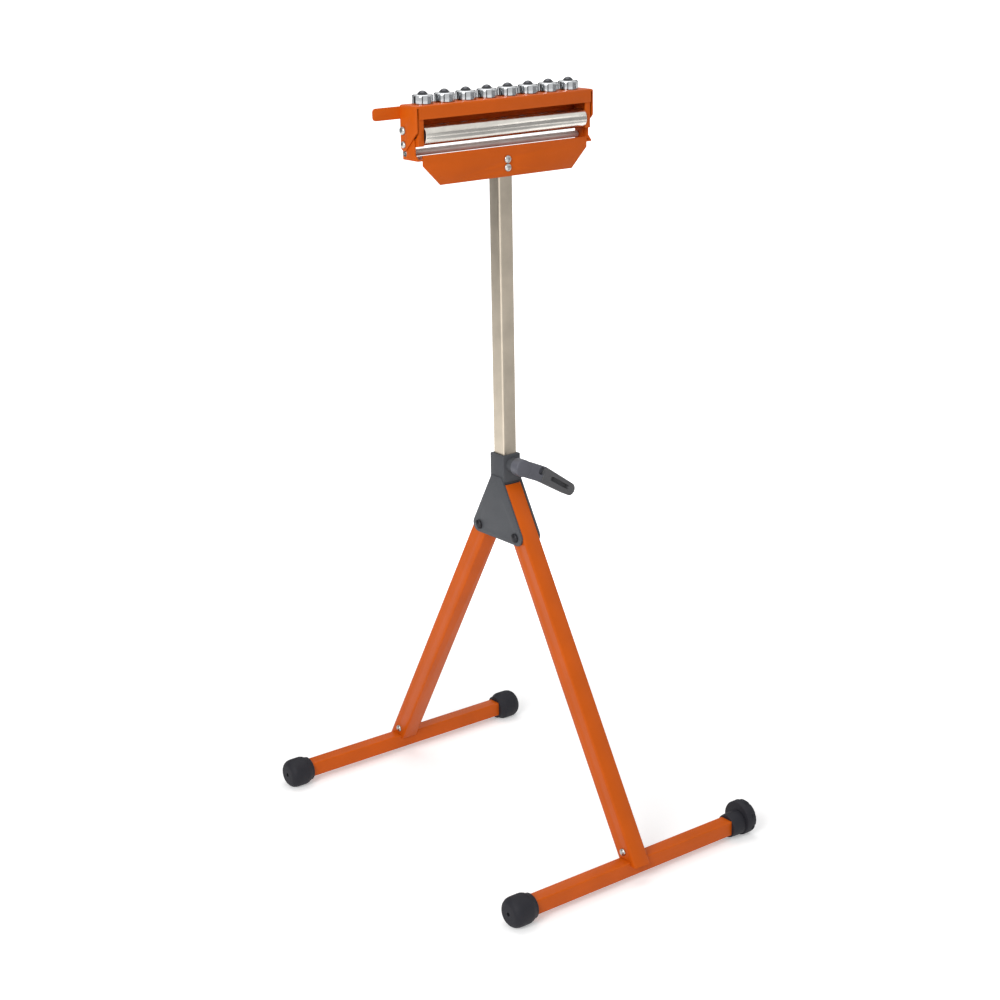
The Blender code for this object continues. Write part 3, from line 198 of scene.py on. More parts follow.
def new_material(name, **shader_values):
    """Material with a Principled shader, and the object coordinates that its pattern reads."""
    made = bpy.data.materials.new(name)
    made.use_nodes = True
    tree = made.node_tree
    tree.nodes.clear()
    shader = add_node(tree, "ShaderNodeBsdfPrincipled", values=shader_values)
    add_node(tree, "ShaderNodeOutputMaterial", links={"Surface": shader.outputs["BSDF"]})
    place = add_node(tree, "ShaderNodeTexCoord").outputs["Object"]
    return made, tree, shader, place


def noise(tree, place, size, detail=2.0, roughness=0.5):
    """Noise whose lumps are about size metres across."""
    values = {"Scale": 1 / size, "Detail": detail, "Roughness": roughness}
    return add_node(tree, "ShaderNodeTexNoise", values=values, links={"Vector": place})


def spread(tree, source, low, high):
    """Map noise, which keeps to its middle, on to the range from low to high."""
    values = {"From Min": 0.3, "From Max": 0.7, "To Min": low, "To Max": high}
    return add_node(tree, "ShaderNodeMapRange", values=values, links={"Value": source}).outputs[0]


def two_tone(tree, factor, colour, share):
    """Colour that a factor takes down to a share of its brightness."""
    node = add_node(tree, "ShaderNodeMix", {"data_type": "RGBA"}, links={0: factor})
    node.inputs[6].default_value = (*colour, 1)
    node.inputs[7].default_value = (*(channel * share for channel in colour), 1)
    return node.outputs[2]


def bump(tree, shader, height, depth, strength=1.0):
    """Raise the shader's surface by up to depth metres."""
    node = add_node(tree, "ShaderNodeBump", values={"Strength": strength, "Distance": depth},
                    links={"Height": height})
    tree.links.new(node.outputs["Normal"], shader.inputs["Normal"])


def powder_coat(name, colour):
    """Powder coat: baked polyester that flows into a low orange peel under a soft gloss."""
    made, tree, shader, place = new_material(name, **{"Metallic": 0.0, "Specular IOR Level": 0.18})
    # Orange peel is 1 to 2 mm across and a few hundredths of a millimetre high
    peel = noise(tree, place, 1.6 * MM)
    drift = noise(tree, place, 60 * MM)
    tree.links.new(two_tone(tree, spread(tree, drift.outputs["Fac"], 0, 1), colour, 0.9),
                   shader.inputs["Base Color"])
    tree.links.new(spread(tree, peel.outputs["Fac"], 0.36, 0.46), shader.inputs["Roughness"])
    bump(tree, shader, peel.outputs["Fac"], 0.05 * MM, 0.5)
    return made


def zinc_plate(name, colour, grain_axis="Z", roughness=0.34, metallic=1.0):
    """Zinc plated steel: a pale cloudy metal with fine draw lines along the tube."""
    made, tree, shader, place = new_material(name, **{"Metallic": metallic})
    stretch = [1.0, 1.0, 1.0]
    stretch["XYZ".index(grain_axis)] = 0.02
    lines = add_node(tree, "ShaderNodeMapping", values={"Scale": stretch}, links={"Vector": place})
    # Draw lines are about 0.4 mm apart, drawn at 0.8 mm so that they show
    draw = noise(tree, lines.outputs["Vector"], 0.8 * MM)
    cloud = noise(tree, place, 25 * MM, 4.0)
    tree.links.new(two_tone(tree, spread(tree, cloud.outputs["Fac"], 0, 1), colour, 0.86),
                   shader.inputs["Base Color"])
    tree.links.new(spread(tree, draw.outputs["Fac"], roughness - 0.06, roughness + 0.08),
                   shader.inputs["Roughness"])
    bump(tree, shader, draw.outputs["Fac"], 0.02 * MM, 0.3)
    return made


def mirror_metal(name, colour):
    """Chrome plate or polished bearing steel: mirror reflections with a faint haze."""
    made, tree, shader, place = new_material(name, **{"Metallic": 1.0})
    haze = noise(tree, place, 9 * MM, 3.0)
    tree.links.new(two_tone(tree, spread(tree, haze.outputs["Fac"], 0, 1), colour, 0.92),
                   shader.inputs["Base Color"])
    tree.links.new(spread(tree, haze.outputs["Fac"], 0.06, 0.13), shader.inputs["Roughness"])
    return made


def black_oxide(name, colour):
    """Black oxide on steel: dark, faintly blue, with an oily half gloss."""
    made, tree, shader, place = new_material(name, **{"Metallic": 0.6})
    patch = noise(tree, place, 3 * MM, 3.0)
    tree.links.new(two_tone(tree, spread(tree, patch.outputs["Fac"], 0, 1), colour, 0.7),
                   shader.inputs["Base Color"])
    tree.links.new(spread(tree, patch.outputs["Fac"], 0.35, 0.5), shader.inputs["Roughness"])
    bump(tree, shader, patch.outputs["Fac"], 0.02 * MM, 0.4)
    return made


def moulded(name, colour, roughness, grit):
    """Moulded plastic, rubber or textured coat: an even dull colour with a fine grit."""
    made, tree, shader, place = new_material(name, **{"Metallic": 0.0, "Specular IOR Level": 0.25})
    grain = noise(tree, place, grit, 3.0)
    drift = noise(tree, place, 40 * MM)
    tree.links.new(two_tone(tree, spread(tree, drift.outputs["Fac"], 0, 1), colour, 0.85),
                   shader.inputs["Base Color"])
    tree.links.new(spread(tree, grain.outputs["Fac"], roughness - 0.06, roughness + 0.06),
                   shader.inputs["Roughness"])
    bump(tree, shader, grain.outputs["Fac"], 0.05 * MM, 0.6)
    return made


# Settings

def colour_property(name, description, hex_value):
    return bpy.props.FloatVectorProperty(name=name, description=description, subtype="COLOR", size=3,
                                         min=0, max=1, default=linear(hex_value))


class StageSettings(bpy.types.PropertyGroup):
    floor_size: bpy.props.FloatProperty(name="Floor size", description="Side of the square floor",
                                        default=80.0, unit="LENGTH")
    lens: bpy.props.FloatProperty(name="Lens", description="Focal length of the camera in millimetres",
                                  default=70.85, unit="CAMERA")
    camera_place: bpy.props.FloatVectorProperty(name="Camera place", description="Where the camera stands",
                                                default=(-1.762, -2.2878, 1.4422), subtype="TRANSLATION")
    camera_yaw: bpy.props.FloatProperty(name="Yaw", description="Turn of the view from the stand's front",
                                        default=math.radians(-37.42), subtype="ANGLE")
    camera_pitch: bpy.props.FloatProperty(name="Pitch", description="How far the view looks down",
                                          default=math.radians(17.63), subtype="ANGLE")
    camera_roll: bpy.props.FloatProperty(name="Roll", description="Turn of the picture about its middle",
                                         default=math.radians(-1.02), subtype="ANGLE")


class FinishSettings(bpy.types.PropertyGroup):
    paint: colour_property("Paint", "Powder coat on the legs, bars, yoke and head", 0xD25C0A)
    tube: colour_property("Tube", "Zinc plate on the post", 0xC6BBAA)
    roller: colour_property("Roller", "Plate on the roller tube", 0xDCD8D0)
    # The cross bar's near-white colour is a painted reflection, which plated metal would not show between
    # dark walls
    bar: colour_property("Cross bar", "White zinc on the cross bar", 0xF4F3F0)
    chrome: colour_property("Chrome", "Plate on the ball cups", 0xBCBEC0)
    # The balls' dark grey is a painted reflection: it stands in for the dark surroundings that their tops
    # mirror
    ball: colour_property("Balls", "Polished bearing steel of the balls", 0x4C4D50)
    zinc: colour_property("Zinc", "Plate on bolts, nuts and screws", 0xB8B8B5)
    oxide: colour_property("Black oxide", "Finish of the leg pivot bolts", 0x2A2A2E)
    casting: colour_property("Casting", "Textured coat on the hub", 0x505256)
    lever: colour_property("Lever", "Satin coat on the lever's casting", 0x62636B)
    grip: colour_property("Grip", "Moulding on the lever's end", 0x5A5A5C)
    rubber: colour_property("Rubber", "Rubber ends and levelling disc", 0x25252B)
    nylon: colour_property("Nylon", "Guide plug, pad and bearing housings", 0x26262A)


class STAND_OT_finishes(bpy.types.Operator):
    """Make one material for each of the stand's finishes and give it to the frame's nodes"""
    bl_idname = "stand.finishes"
    bl_label = "Finishes"

    def execute(self, context):
        colours = context.scene.stand_finishes
        FINISHES.update({
            "orange_paint": powder_coat("powder_coat_orange", colours.paint),
            "galvanised_steel": zinc_plate("zinc_plated_tube", colours.tube),
            "roller_steel": zinc_plate("plated_roller_tube", colours.roller, "X", 0.2),
            # The bar's near-white coat, only a quarter metal, is a painted reflection: it keeps the bar
            # white between dark walls, where plated metal would mirror them
            "bar_steel": zinc_plate("bar_with_painted_white_reflection", colours.bar, "X", 0.4, 0.25),
            "chromed_steel": mirror_metal("chrome_plate", colours.chrome),
            # The balls' dark base is a painted dark reflection, not the colour of bearing steel
            "ball_steel": mirror_metal("ball_steel_painted_dark_reflection", colours.ball),
            "zinc_fastener": zinc_plate("bright_zinc_fastener", colours.zinc, "X", 0.28),
            "black_fastener": black_oxide("black_oxide_fastener", colours.oxide),
            "hub_casting": moulded("textured_coat_dark_grey", colours.casting, 0.5, 0.8 * MM),
            "lever_casting": moulded("satin_coat_mid_grey", colours.lever, 0.42, 0.8 * MM),
            "grip_plastic": moulded("abs_dark_grey", colours.grip, 0.5, 0.6 * MM),
            "foot_rubber": moulded("moulded_rubber_black", colours.rubber, 0.62, 0.9 * MM),
            "guide_plastic": moulded("moulded_nylon_black", colours.nylon, 0.48, 0.7 * MM),
        })
        slots = {row["node"]: row["material_slot"] for row in frame["record"]["subparts"]}
        for name, node in frame["nodes"].items():
            node.data.materials.clear()
            node.data.materials.append(FINISHES[slots[name]])
        return {"FINISHED"}


# Modelling

def pick_only(piece):
    bpy.ops.object.select_all(action="DESELECT")
    piece.select_set(True)
    bpy.context.view_layer.objects.active = piece


def add_primitive(kind, name, **how):
    bpy.ops.object.select_all(action="DESELECT")
    getattr(bpy.ops.mesh, f"primitive_{kind}_add")(**how)
    piece = bpy.context.object
    piece.name = name
    return piece


def fix_place(piece):
    """Put a piece's place and turn into its mesh."""
    pick_only(piece)
    bpy.ops.object.transform_apply(location=True, rotation=True, scale=True)


def face_outwards():
    bpy.ops.mesh.select_all(action="SELECT")
    bpy.ops.mesh.normals_make_consistent(inside=False)


def turned(name, rings, sides=ROUND_SIDES, closed=False):
    """Turned piece about Z, drawn out ring by ring; each ring is (radius, height).

    A closed one joins its last ring to its first, which leaves a hole through the middle.
    """
    radius, height = rings[0]
    piece = add_primitive("circle", name, vertices=sides, radius=radius, location=(0, 0, height),
                          fill_type="NOTHING" if closed else "NGON")
    bpy.ops.object.mode_set(mode="EDIT")
    bpy.ops.mesh.select_all(action="SELECT")
    for next_radius, next_height in rings[1:] + ([rings[0]] if closed else []):
        rise = (0, 0, next_height - height)
        bpy.ops.mesh.extrude_region_move(TRANSFORM_OT_translate={"value": rise})
        grow = next_radius / radius
        bpy.ops.transform.resize(value=(grow, grow, 1), center_override=(0, 0, next_height))
        radius, height = next_radius, next_height
    if closed:
        bpy.ops.mesh.select_all(action="SELECT")
        bpy.ops.mesh.remove_doubles(threshold=MERGE)
    face_outwards()
    bpy.ops.object.mode_set(mode="OBJECT")
    fix_place(piece)
    return piece


def put(piece, place, axis="Z"):
    """Turn a piece made about Z so that its top points along the axis, and move it to its place."""
    piece.rotation_euler = TURNS[axis]
    piece.location = place
    fix_place(piece)
    return piece


def combine(piece, other, operation):
    """Cut a second shape out of a piece or join it on, and remove that shape."""
    pick_only(piece)
    change = piece.modifiers.new("shape", "BOOLEAN")
    change.operation = operation
    change.object = other
    change.solver = "EXACT"
    bpy.ops.object.modifier_apply(modifier=change.name)
    bpy.data.objects.remove(other, do_unlink=True)


def cut_block(piece, low, high):
    """Cut the space between two corners out of a piece."""
    low, high = Vector(low), Vector(high)
    cutter = add_primitive("cube", "cutter", size=1, location=(low + high) / 2)
    cutter.scale = high - low
    fix_place(cutter)
    combine(piece, cutter, "DIFFERENCE")


def cut_round(piece, radius, depth, place, axis, sides=HOLE_SIDES):
    """Sink a round hole into a piece from a place on its surface; the axis points out of the hole."""
    cutter = turned("cutter", [(radius, -depth), (radius, CUT_CLEAR)], sides)
    combine(piece, put(cutter, place, axis), "DIFFERENCE")


def hex_nut(radius, height, start=0):
    """Nut with eased edges, which begins at a height."""
    corner = radius * NUT_CORNER_SHARE
    return turned("nut", [(corner, start), (radius, start + NUT_EDGE),
                          (radius, start + height - NUT_EDGE), (corner, start + height)], HEX_SIDES)


def in_metres(rings):
    return [(radius * MM, height * MM) for radius, height in rings]


def middle_of(node):
    low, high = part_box(node)
    return (low + high) / 2


def round_edges(piece, width, segments):
    pick_only(piece)
    rounding = piece.modifiers.new("rounded_edges", "BEVEL")
    rounding.width = width
    rounding.segments = segments
    rounding.limit_method = "ANGLE"
    rounding.angle_limit = EDGE_ANGLE
    bpy.ops.object.modifier_apply(modifier=rounding.name)


def worked_copy(node, name, edge, segments=3):
    """Copy of a frame node with its triangles joined into flats and its edges rounded."""
    piece = bpy.data.objects.new(name, frame["nodes"][node].data.copy())
    bpy.context.scene.collection.objects.link(piece)
    pick_only(piece)
    bpy.ops.object.mode_set(mode="EDIT")
    bpy.ops.mesh.select_all(action="SELECT")
    bpy.ops.mesh.remove_doubles(threshold=MERGE)
    bpy.ops.mesh.dissolve_limited(angle_limit=math.radians(1))
    face_outwards()
    bpy.ops.object.mode_set(mode="OBJECT")
    round_edges(piece, edge, segments)
    return piece


def dress(piece, body, slot, *nodes, angle=35, finish=None):
    """Shade a finished piece, give it its material and say what it rides on and stands for."""
    pick_only(piece)
    bpy.ops.object.shade_smooth_by_angle(angle=math.radians(angle))
    piece.data.materials.clear()
    piece.data.materials.append(FINISHES[finish or slot])
    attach(piece, body)
    if nodes:
        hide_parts(*nodes)


def square_tube(node, name, corner, axis):
    """Tube with rounded corners and a real wall, where the frame's node is."""
    low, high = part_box(node)
    size = high - low
    run = "XYZ".index(axis)
    length = size[run]
    width, depth = (size.z, size.y) if axis == "X" else (size.x, size.y)
    piece = add_primitive("plane", name, size=1, location=(0, 0, -length / 2))
    bpy.ops.object.mode_set(mode="EDIT")
    bpy.ops.mesh.select_all(action="SELECT")
    bpy.ops.transform.resize(value=(width, depth, 1))
    bpy.ops.mesh.bevel(offset=corner, segments=6, affect="VERTICES")
    bpy.ops.mesh.select_all(action="SELECT")
    bpy.ops.mesh.inset(thickness=TUBE_WALL)
    bpy.ops.mesh.delete(type="FACE")
    bpy.ops.mesh.select_all(action="SELECT")
    bpy.ops.mesh.extrude_region_move(TRANSFORM_OT_translate={"value": (0, 0, length)})
    face_outwards()
    bpy.ops.object.mode_set(mode="OBJECT")
    fix_place(piece)
    return put(piece, (low + high) / 2, axis)


class STAND_OT_tubes(bpy.types.Operator):
    """Square tubes of the post, the legs and the foot bars"""
    bl_idname = "stand.tubes"
    bl_label = "Tubes"

    def execute(self, context):
        dress(square_tube("post_tube", "post", POST_CORNER, "Z"), "post", "galvanised_steel", "post_tube")
        for side in ("front", "rear"):
            bar = square_tube(f"{side}_foot_bar", f"{side}_bar", BAR_CORNER, "X")
            dress(bar, f"{side}_leg", "orange_paint", f"{side}_foot_bar")
            leg = worked_copy(f"{side}_leg_tube", f"{side}_leg_skin", SHEET_EDGE)
            dress(leg, f"{side}_leg", "orange_paint", f"{side}_leg_tube")
        dress(worked_copy("post_socket", "socket_skin", SHEET_EDGE), "post", "orange_paint", "post_socket")
        return {"FINISHED"}


class STAND_OT_sheet_metal(bpy.types.Operator):
    """Folded sheet of the yoke, the head and its roller brackets"""
    bl_idname = "stand.sheet_metal"
    bl_label = "Sheet metal"

    def execute(self, context):
        for node, body in (("yoke_bracket", "post"), ("head_cassette", "head"),
                           ("roller_bracket_left", "head"), ("roller_bracket_right", "head")):
            dress(worked_copy(node, f"{node}_skin", SHEET_EDGE), body, "orange_paint", node)
        return {"FINISHED"}


class STAND_OT_hub(bpy.types.Operator):
    """Cast hub with its collar, and the clamp lever with its grip"""
    bl_idname = "stand.hub"
    bl_label = "Hub and lever"

    def execute(self, context):
        dress(worked_copy("hub_housing", "hub_skin", CAST_EDGE, 4), "hub", "hub_casting", "hub_housing")
        hub = worked_copy("lever_hub", "lever_casting_skin", CAST_EDGE, 4)
        grip = worked_copy("lever_grip", "lever_grip_skin", GRIP_EDGE)
        boss = middle_of("clamp_stud")
        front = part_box("lever_hub")[0].y
        recess = boss + self.along(STUB_DROP, RECESS_DISTANCE, RECESS_RISE)
        recess.y = front
        for piece in (hub, grip):
            cut_round(piece, RECESS_RADIUS, RECESS_DEPTH, recess, "-Y", RECESS_SIDES)
        slot = boss + self.along(STUB_DROP, STUB_LENGTH, 0) + self.along(GRIP_DROP, SLOT_MIDDLE, SLOT_RISE)
        slot.y = front
        combine(grip, self.slot_cutter(slot), "DIFFERENCE")
        dress(hub, "clamp_lever", "lever_casting", "lever_hub")
        dress(grip, "clamp_lever", "grip_plastic", "lever_grip")
        return {"FINISHED"}

    def along(self, drop, distance, rise):
        """Step along a part of the lever that slopes down by an angle, and square to it."""
        return Vector((distance * math.cos(drop) + rise * math.sin(drop), 0,
                       rise * math.cos(drop) - distance * math.sin(drop)))

    def slot_cutter(self, place):
        """Long hollow that lightens the grip, round at both ends."""
        cutter = add_primitive("plane", "cutter", size=1)
        bpy.ops.object.mode_set(mode="EDIT")
        bpy.ops.mesh.select_all(action="SELECT")
        bpy.ops.transform.resize(value=(SLOT_LENGTH, SLOT_WIDTH, 1))
        # Just under half the width, so that the two corners of an end don't meet
        bpy.ops.mesh.bevel(offset=SLOT_WIDTH * 0.49, segments=8, affect="VERTICES")
        bpy.ops.mesh.select_all(action="SELECT")
        reach = (0, 0, -SLOT_DEPTH - CUT_CLEAR)
        bpy.ops.mesh.extrude_region_move(TRANSFORM_OT_translate={"value": reach})
        face_outwards()
        bpy.ops.object.mode_set(mode="OBJECT")
        cutter.matrix_world = (Matrix.Translation(place - Vector((0, CUT_CLEAR, 0)))
                               @ Matrix.Rotation(GRIP_DROP, 4, "Y") @ Matrix.Rotation(math.pi / 2, 4, "X"))
        fix_place(cutter)
        return cutter


def bar_axis(node):
    """Middle of the foot bar that carries a node, as (y, z)."""
    low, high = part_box("rear_foot_bar" if node.startswith("rear") else "front_foot_bar")
    return (low.y + high.y) / 2, (low.z + high.z) / 2


class STAND_OT_feet(bpy.types.Operator):
    """Rubber ends of the foot bars, and the levelling disc with its bush"""
    bl_idname = "stand.feet"
    bl_label = "Feet"

    CAP_RINGS = ((18.4, 0), (19.4, 0.9), (19.6, 3), (20.6, 6), (22.2, 9), (23.2, 12), (23.5, 15), (23.5, 28),
                 (23.2, 32), (22.2, 35.6), (20.2, 38.8), (17.6, 41), (15, 41.9), (14, 42))
    BUSH_RINGS = ((17.4, 0), (18.2, 0.8), (18.6, 4), (19, 12), (19, 24.2), (18.2, 25))
    DISC_RINGS = ((24, 0), (26.2, 0.7), (27, 2.2), (27, 14.4), (26.4, 17), (25, 19), (22.6, 20), (21, 20),
                  (20, 19.4), (18, 19.2))

    def execute(self, context):
        for node, body in (("rear_left_cap", "rear_leg"), ("rear_right_cap", "rear_leg"),
                           ("front_left_cap", "front_leg")):
            self.make_cap(node, body)
        self.make_bush()
        self.make_disc()
        return {"FINISHED"}

    def make_cap(self, node, body):
        low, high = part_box(node)
        y, z = bar_axis(node)
        right = high.x > 0
        mouth, end = (low.x, high.x) if right else (high.x, low.x)
        outwards, axis = (1, "X") if right else (-1, "-X")
        cap = put(turned(f"{node}_rubber", in_metres(self.CAP_RINGS)), (mouth, y, z), axis)
        inner = sorted((mouth - outwards * CUT_CLEAR, end - outwards * CAP_END_WALL))
        cut_block(cap, (inner[0], y - BAR_HALF, z - BAR_HALF), (inner[1], y + BAR_HALF, z + BAR_HALF))
        # The flat that stands on the floor
        cut_block(cap, (low.x - CUT_CLEAR, y - FLAT_REACH, -FLAT_REACH),
                  (high.x + CUT_CLEAR, y + FLAT_REACH, 0))
        cut_round(cap, VENT_RADIUS, VENT_DEPTH, (end, y, z), axis)
        dress(cap, body, "foot_rubber", node)

    def make_bush(self):
        low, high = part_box("levelling_bush")
        y, z = bar_axis("front")
        bush = put(turned("bush_rubber", in_metres(self.BUSH_RINGS)), (low.x, y, z), "X")
        cut_block(bush, (low.x - CUT_CLEAR, y - BAR_HALF, z - BAR_HALF),
                  (high.x - BUSH_END_WALL, y + BAR_HALF, z + BAR_HALF))
        dress(bush, "front_leg", "foot_rubber", "levelling_bush")

    def make_disc(self):
        low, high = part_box("levelling_disc")
        centre = (low + high) / 2
        disc = turned("levelling_knob", in_metres(self.DISC_RINGS), LARGE_SIDES)
        put(disc, (low.x, centre.y, centre.z), "X")
        for index in range(DISC_FLUTES):
            angle = 2 * math.pi * (index + 0.5) / DISC_FLUTES
            radius = high.z - centre.z + FLUTE_OFFSET
            place = (high.x, centre.y + radius * math.sin(angle), centre.z - radius * math.cos(angle))
            cut_round(disc, FLUTE_RADIUS, FLUTE_DEPTH, place, "X")
        y, z = bar_axis("front")
        # The screw's head sits in this recess with a millimetre to spare
        cut_round(disc, M8[1] + MM, M8[2] + MM, (high.x, y, z), "X", RECESS_SIDES)
        dress(disc, "levelling_foot", "foot_rubber", "levelling_disc")


class STAND_OT_roller(bpy.types.Operator):
    """Roller tube with turned-in ends"""
    bl_idname = "stand.roller"
    bl_label = "Roller"

    def execute(self, context):
        low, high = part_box("roller_tube")
        half, radius = (high.x - low.x) / 2, (high.z - low.z) / 2
        inner = radius - TUBE_WALL
        # From the inner lip of the left end round to the outside, and the same mirrored at the right
        rings = [(inner, -half + ROLLER_LIP), (inner + 0.3 * MM, -half + 0.3 * MM),
                 (inner + 0.7 * MM, -half), (radius - 0.5 * MM, -half),
                 (radius - 0.15 * MM, -half + 0.2 * MM), (radius, -half + 0.7 * MM)]
        rings += [(ring_radius, -height) for ring_radius, height in reversed(rings)]
        tube = put(turned("roller_skin", rings, LARGE_SIDES, closed=True), (low + high) / 2, "X")
        dress(tube, "roller", "roller_steel", "roller_tube")
        return {"FINISHED"}


class STAND_OT_ball_units(bpy.types.Operator):
    """Chromed cups with a rolled lip and a threaded stem, their nuts and their balls"""
    bl_idname = "stand.ball_units"
    bl_label = "Ball units"

    CUP_RINGS = ((14.3, 0), (15, 0.5), (15, 10.2), (14.8, 11.2), (14.2, 12), (13.3, 12.5), (12, 12.8),
                 (10.4, 12.9), (9.2, 13), (8.7, 13.1), (8.2, 13), (7.9, 12.7), (8.1, 12.2), (8.4, 11),
                 (8.4, 10), (8, 7.5), (6.6, 4.8), (4, 2.6), (1.5, 1.7))

    def execute(self, context):
        low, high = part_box("ball_cup_1")
        stem = high.z - low.z - CUP_HEIGHT + STEM_SHOW
        stem_rings = [(CUP_STEM_RADIUS - TIP_CHAMFER, -stem), (CUP_STEM_RADIUS, TIP_CHAMFER - stem),
                      (CUP_STEM_RADIUS, 0)]
        cup = turned("cup", stem_rings + in_metres(self.CUP_RINGS))
        nut = hex_nut(CUP_NUT_RADIUS, CUP_NUT_HEIGHT)
        ball = add_primitive("ico_sphere", "ball", subdivisions=4, radius=BALL_RADIUS)
        for index in range(1, BALL_COUNT + 1):
            low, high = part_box(f"ball_cup_{index}")
            centre = (low + high) / 2
            base = high.z - CUP_HEIGHT
            self.place_copy(cup, f"cup_{index}", (centre.x, centre.y, base), "head", "chromed_steel",
                            f"ball_cup_{index}")
            self.place_copy(nut, f"cup_nut_{index}", (centre.x, centre.y, low.z), "head", "zinc_fastener")
            self.place_copy(ball, f"ball_{index}_polished", middle_of(f"ball_{index}"), f"ball_{index}_body",
                            "chromed_steel", f"ball_{index}", finish="ball_steel")
        for pattern in (cup, nut, ball):
            bpy.data.objects.remove(pattern, do_unlink=True)
        return {"FINISHED"}

    def place_copy(self, pattern, name, place, body, slot, *nodes, finish=None):
        pick_only(pattern)
        bpy.ops.object.duplicate()
        piece = bpy.context.object
        piece.name = name
        dress(put(piece, place), body, slot, *nodes, angle=45, finish=finish)


def dome_rings(radius, height):
    """Rings of a domed head, from its seat up to its crown: a short rim, then part of an ellipse."""
    rings = [(radius * 0.96, 0), (radius, 0.08 * height)]
    for step in range(1, DOME_STEPS + 1):
        angle = DOME_STEP_ANGLE * step
        rings.append((radius * math.cos(angle), height * (0.2 + 0.8 * math.sin(angle))))
    return rings


class STAND_OT_fasteners(bpy.types.Operator):
    """Bolts with their nuts, screws, and the cross bar that two screws hold"""
    bl_idname = "stand.fasteners"
    bl_label = "Fasteners"

    def execute(self, context):
        for side in ("front", "rear"):
            self.make_bolt(f"{side}_leg_pivot_bolt", "hub", "black_fastener", M8, "-X")
            self.make_bolt(f"{side}_leg_bolt", f"{side}_leg", "zinc_fastener", M6, "-X")
        for place in ("lower", "upper"):
            self.make_bolt(f"yoke_bolt_{place}", "post", "zinc_fastener", M6, "-Y")
        for side, axis in (("left", "-X"), ("right", "X")):
            self.make_bolt(f"head_pivot_bolt_{side}", "head", "zinc_fastener", PIVOT_M8, axis)
            self.make_bolt(f"detent_screw_{side}", "head", "zinc_fastener", DETENT_M6, axis)
            self.make_countersunk(f"cross_bar_screw_{side}", axis)
        self.make_cross_bar()
        return {"FINISHED"}

    def seat_of(self, node, axis, head_height):
        """Where the head's seat is, and how far the whole fastener reaches along its axis."""
        low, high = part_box(node)
        run = "XYZ".index(axis[-1])
        seat = (low + high) / 2
        seat[run] = low[run] + head_height if axis[0] == "-" else high[run] - head_height
        return seat, high[run] - low[run]

    def make_bolt(self, node, body, slot, size, axis):
        shank, head, head_height = size[:3]
        seat, length = self.seat_of(node, axis, head_height)
        tip = head_height - length
        rings = [(shank * TIP_SHARE, tip), (shank, tip + TIP_CHAMFER), (shank, 0)]
        bolt = turned(f"{node}_steel", rings + dome_rings(head, head_height), BOLT_SIDES)
        if len(size) > 3:
            combine(bolt, hex_nut(*size[3:], start=tip + BOLT_TIP), "UNION")
        dress(put(bolt, seat, axis), body, slot, node)

    def make_countersunk(self, node, axis):
        shank, head = COUNTERSUNK_M5
        seat, length = self.seat_of(node, axis, 0)
        sink = head - shank
        rings = [(shank * TIP_SHARE, -length), (shank, TIP_CHAMFER - length), (shank, -sink),
                 (head, -HEAD_LAND), (head - HEAD_LAND, 0)]
        screw = turned(f"{node}_steel", rings, BOLT_SIDES)
        cut_round(screw, SOCKET_RADIUS, SOCKET_DEPTH, (0, 0, 0), "Z", HEX_SIDES)
        dress(put(screw, seat, axis), "post", "zinc_fastener", node)

    def make_cross_bar(self):
        low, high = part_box("cross_bar")
        half, radius = (high.x - low.x) / 2, (high.z - low.z) / 2
        edge = CROSS_BAR_CHAMFER
        rings = [(radius - edge, -half), (radius, edge - half), (radius, half - edge), (radius - edge, half)]
        bar = put(turned("cross_bar_steel", rings), (low + high) / 2, "X")
        dress(bar, "post", "roller_steel", "cross_bar", finish="bar_steel")


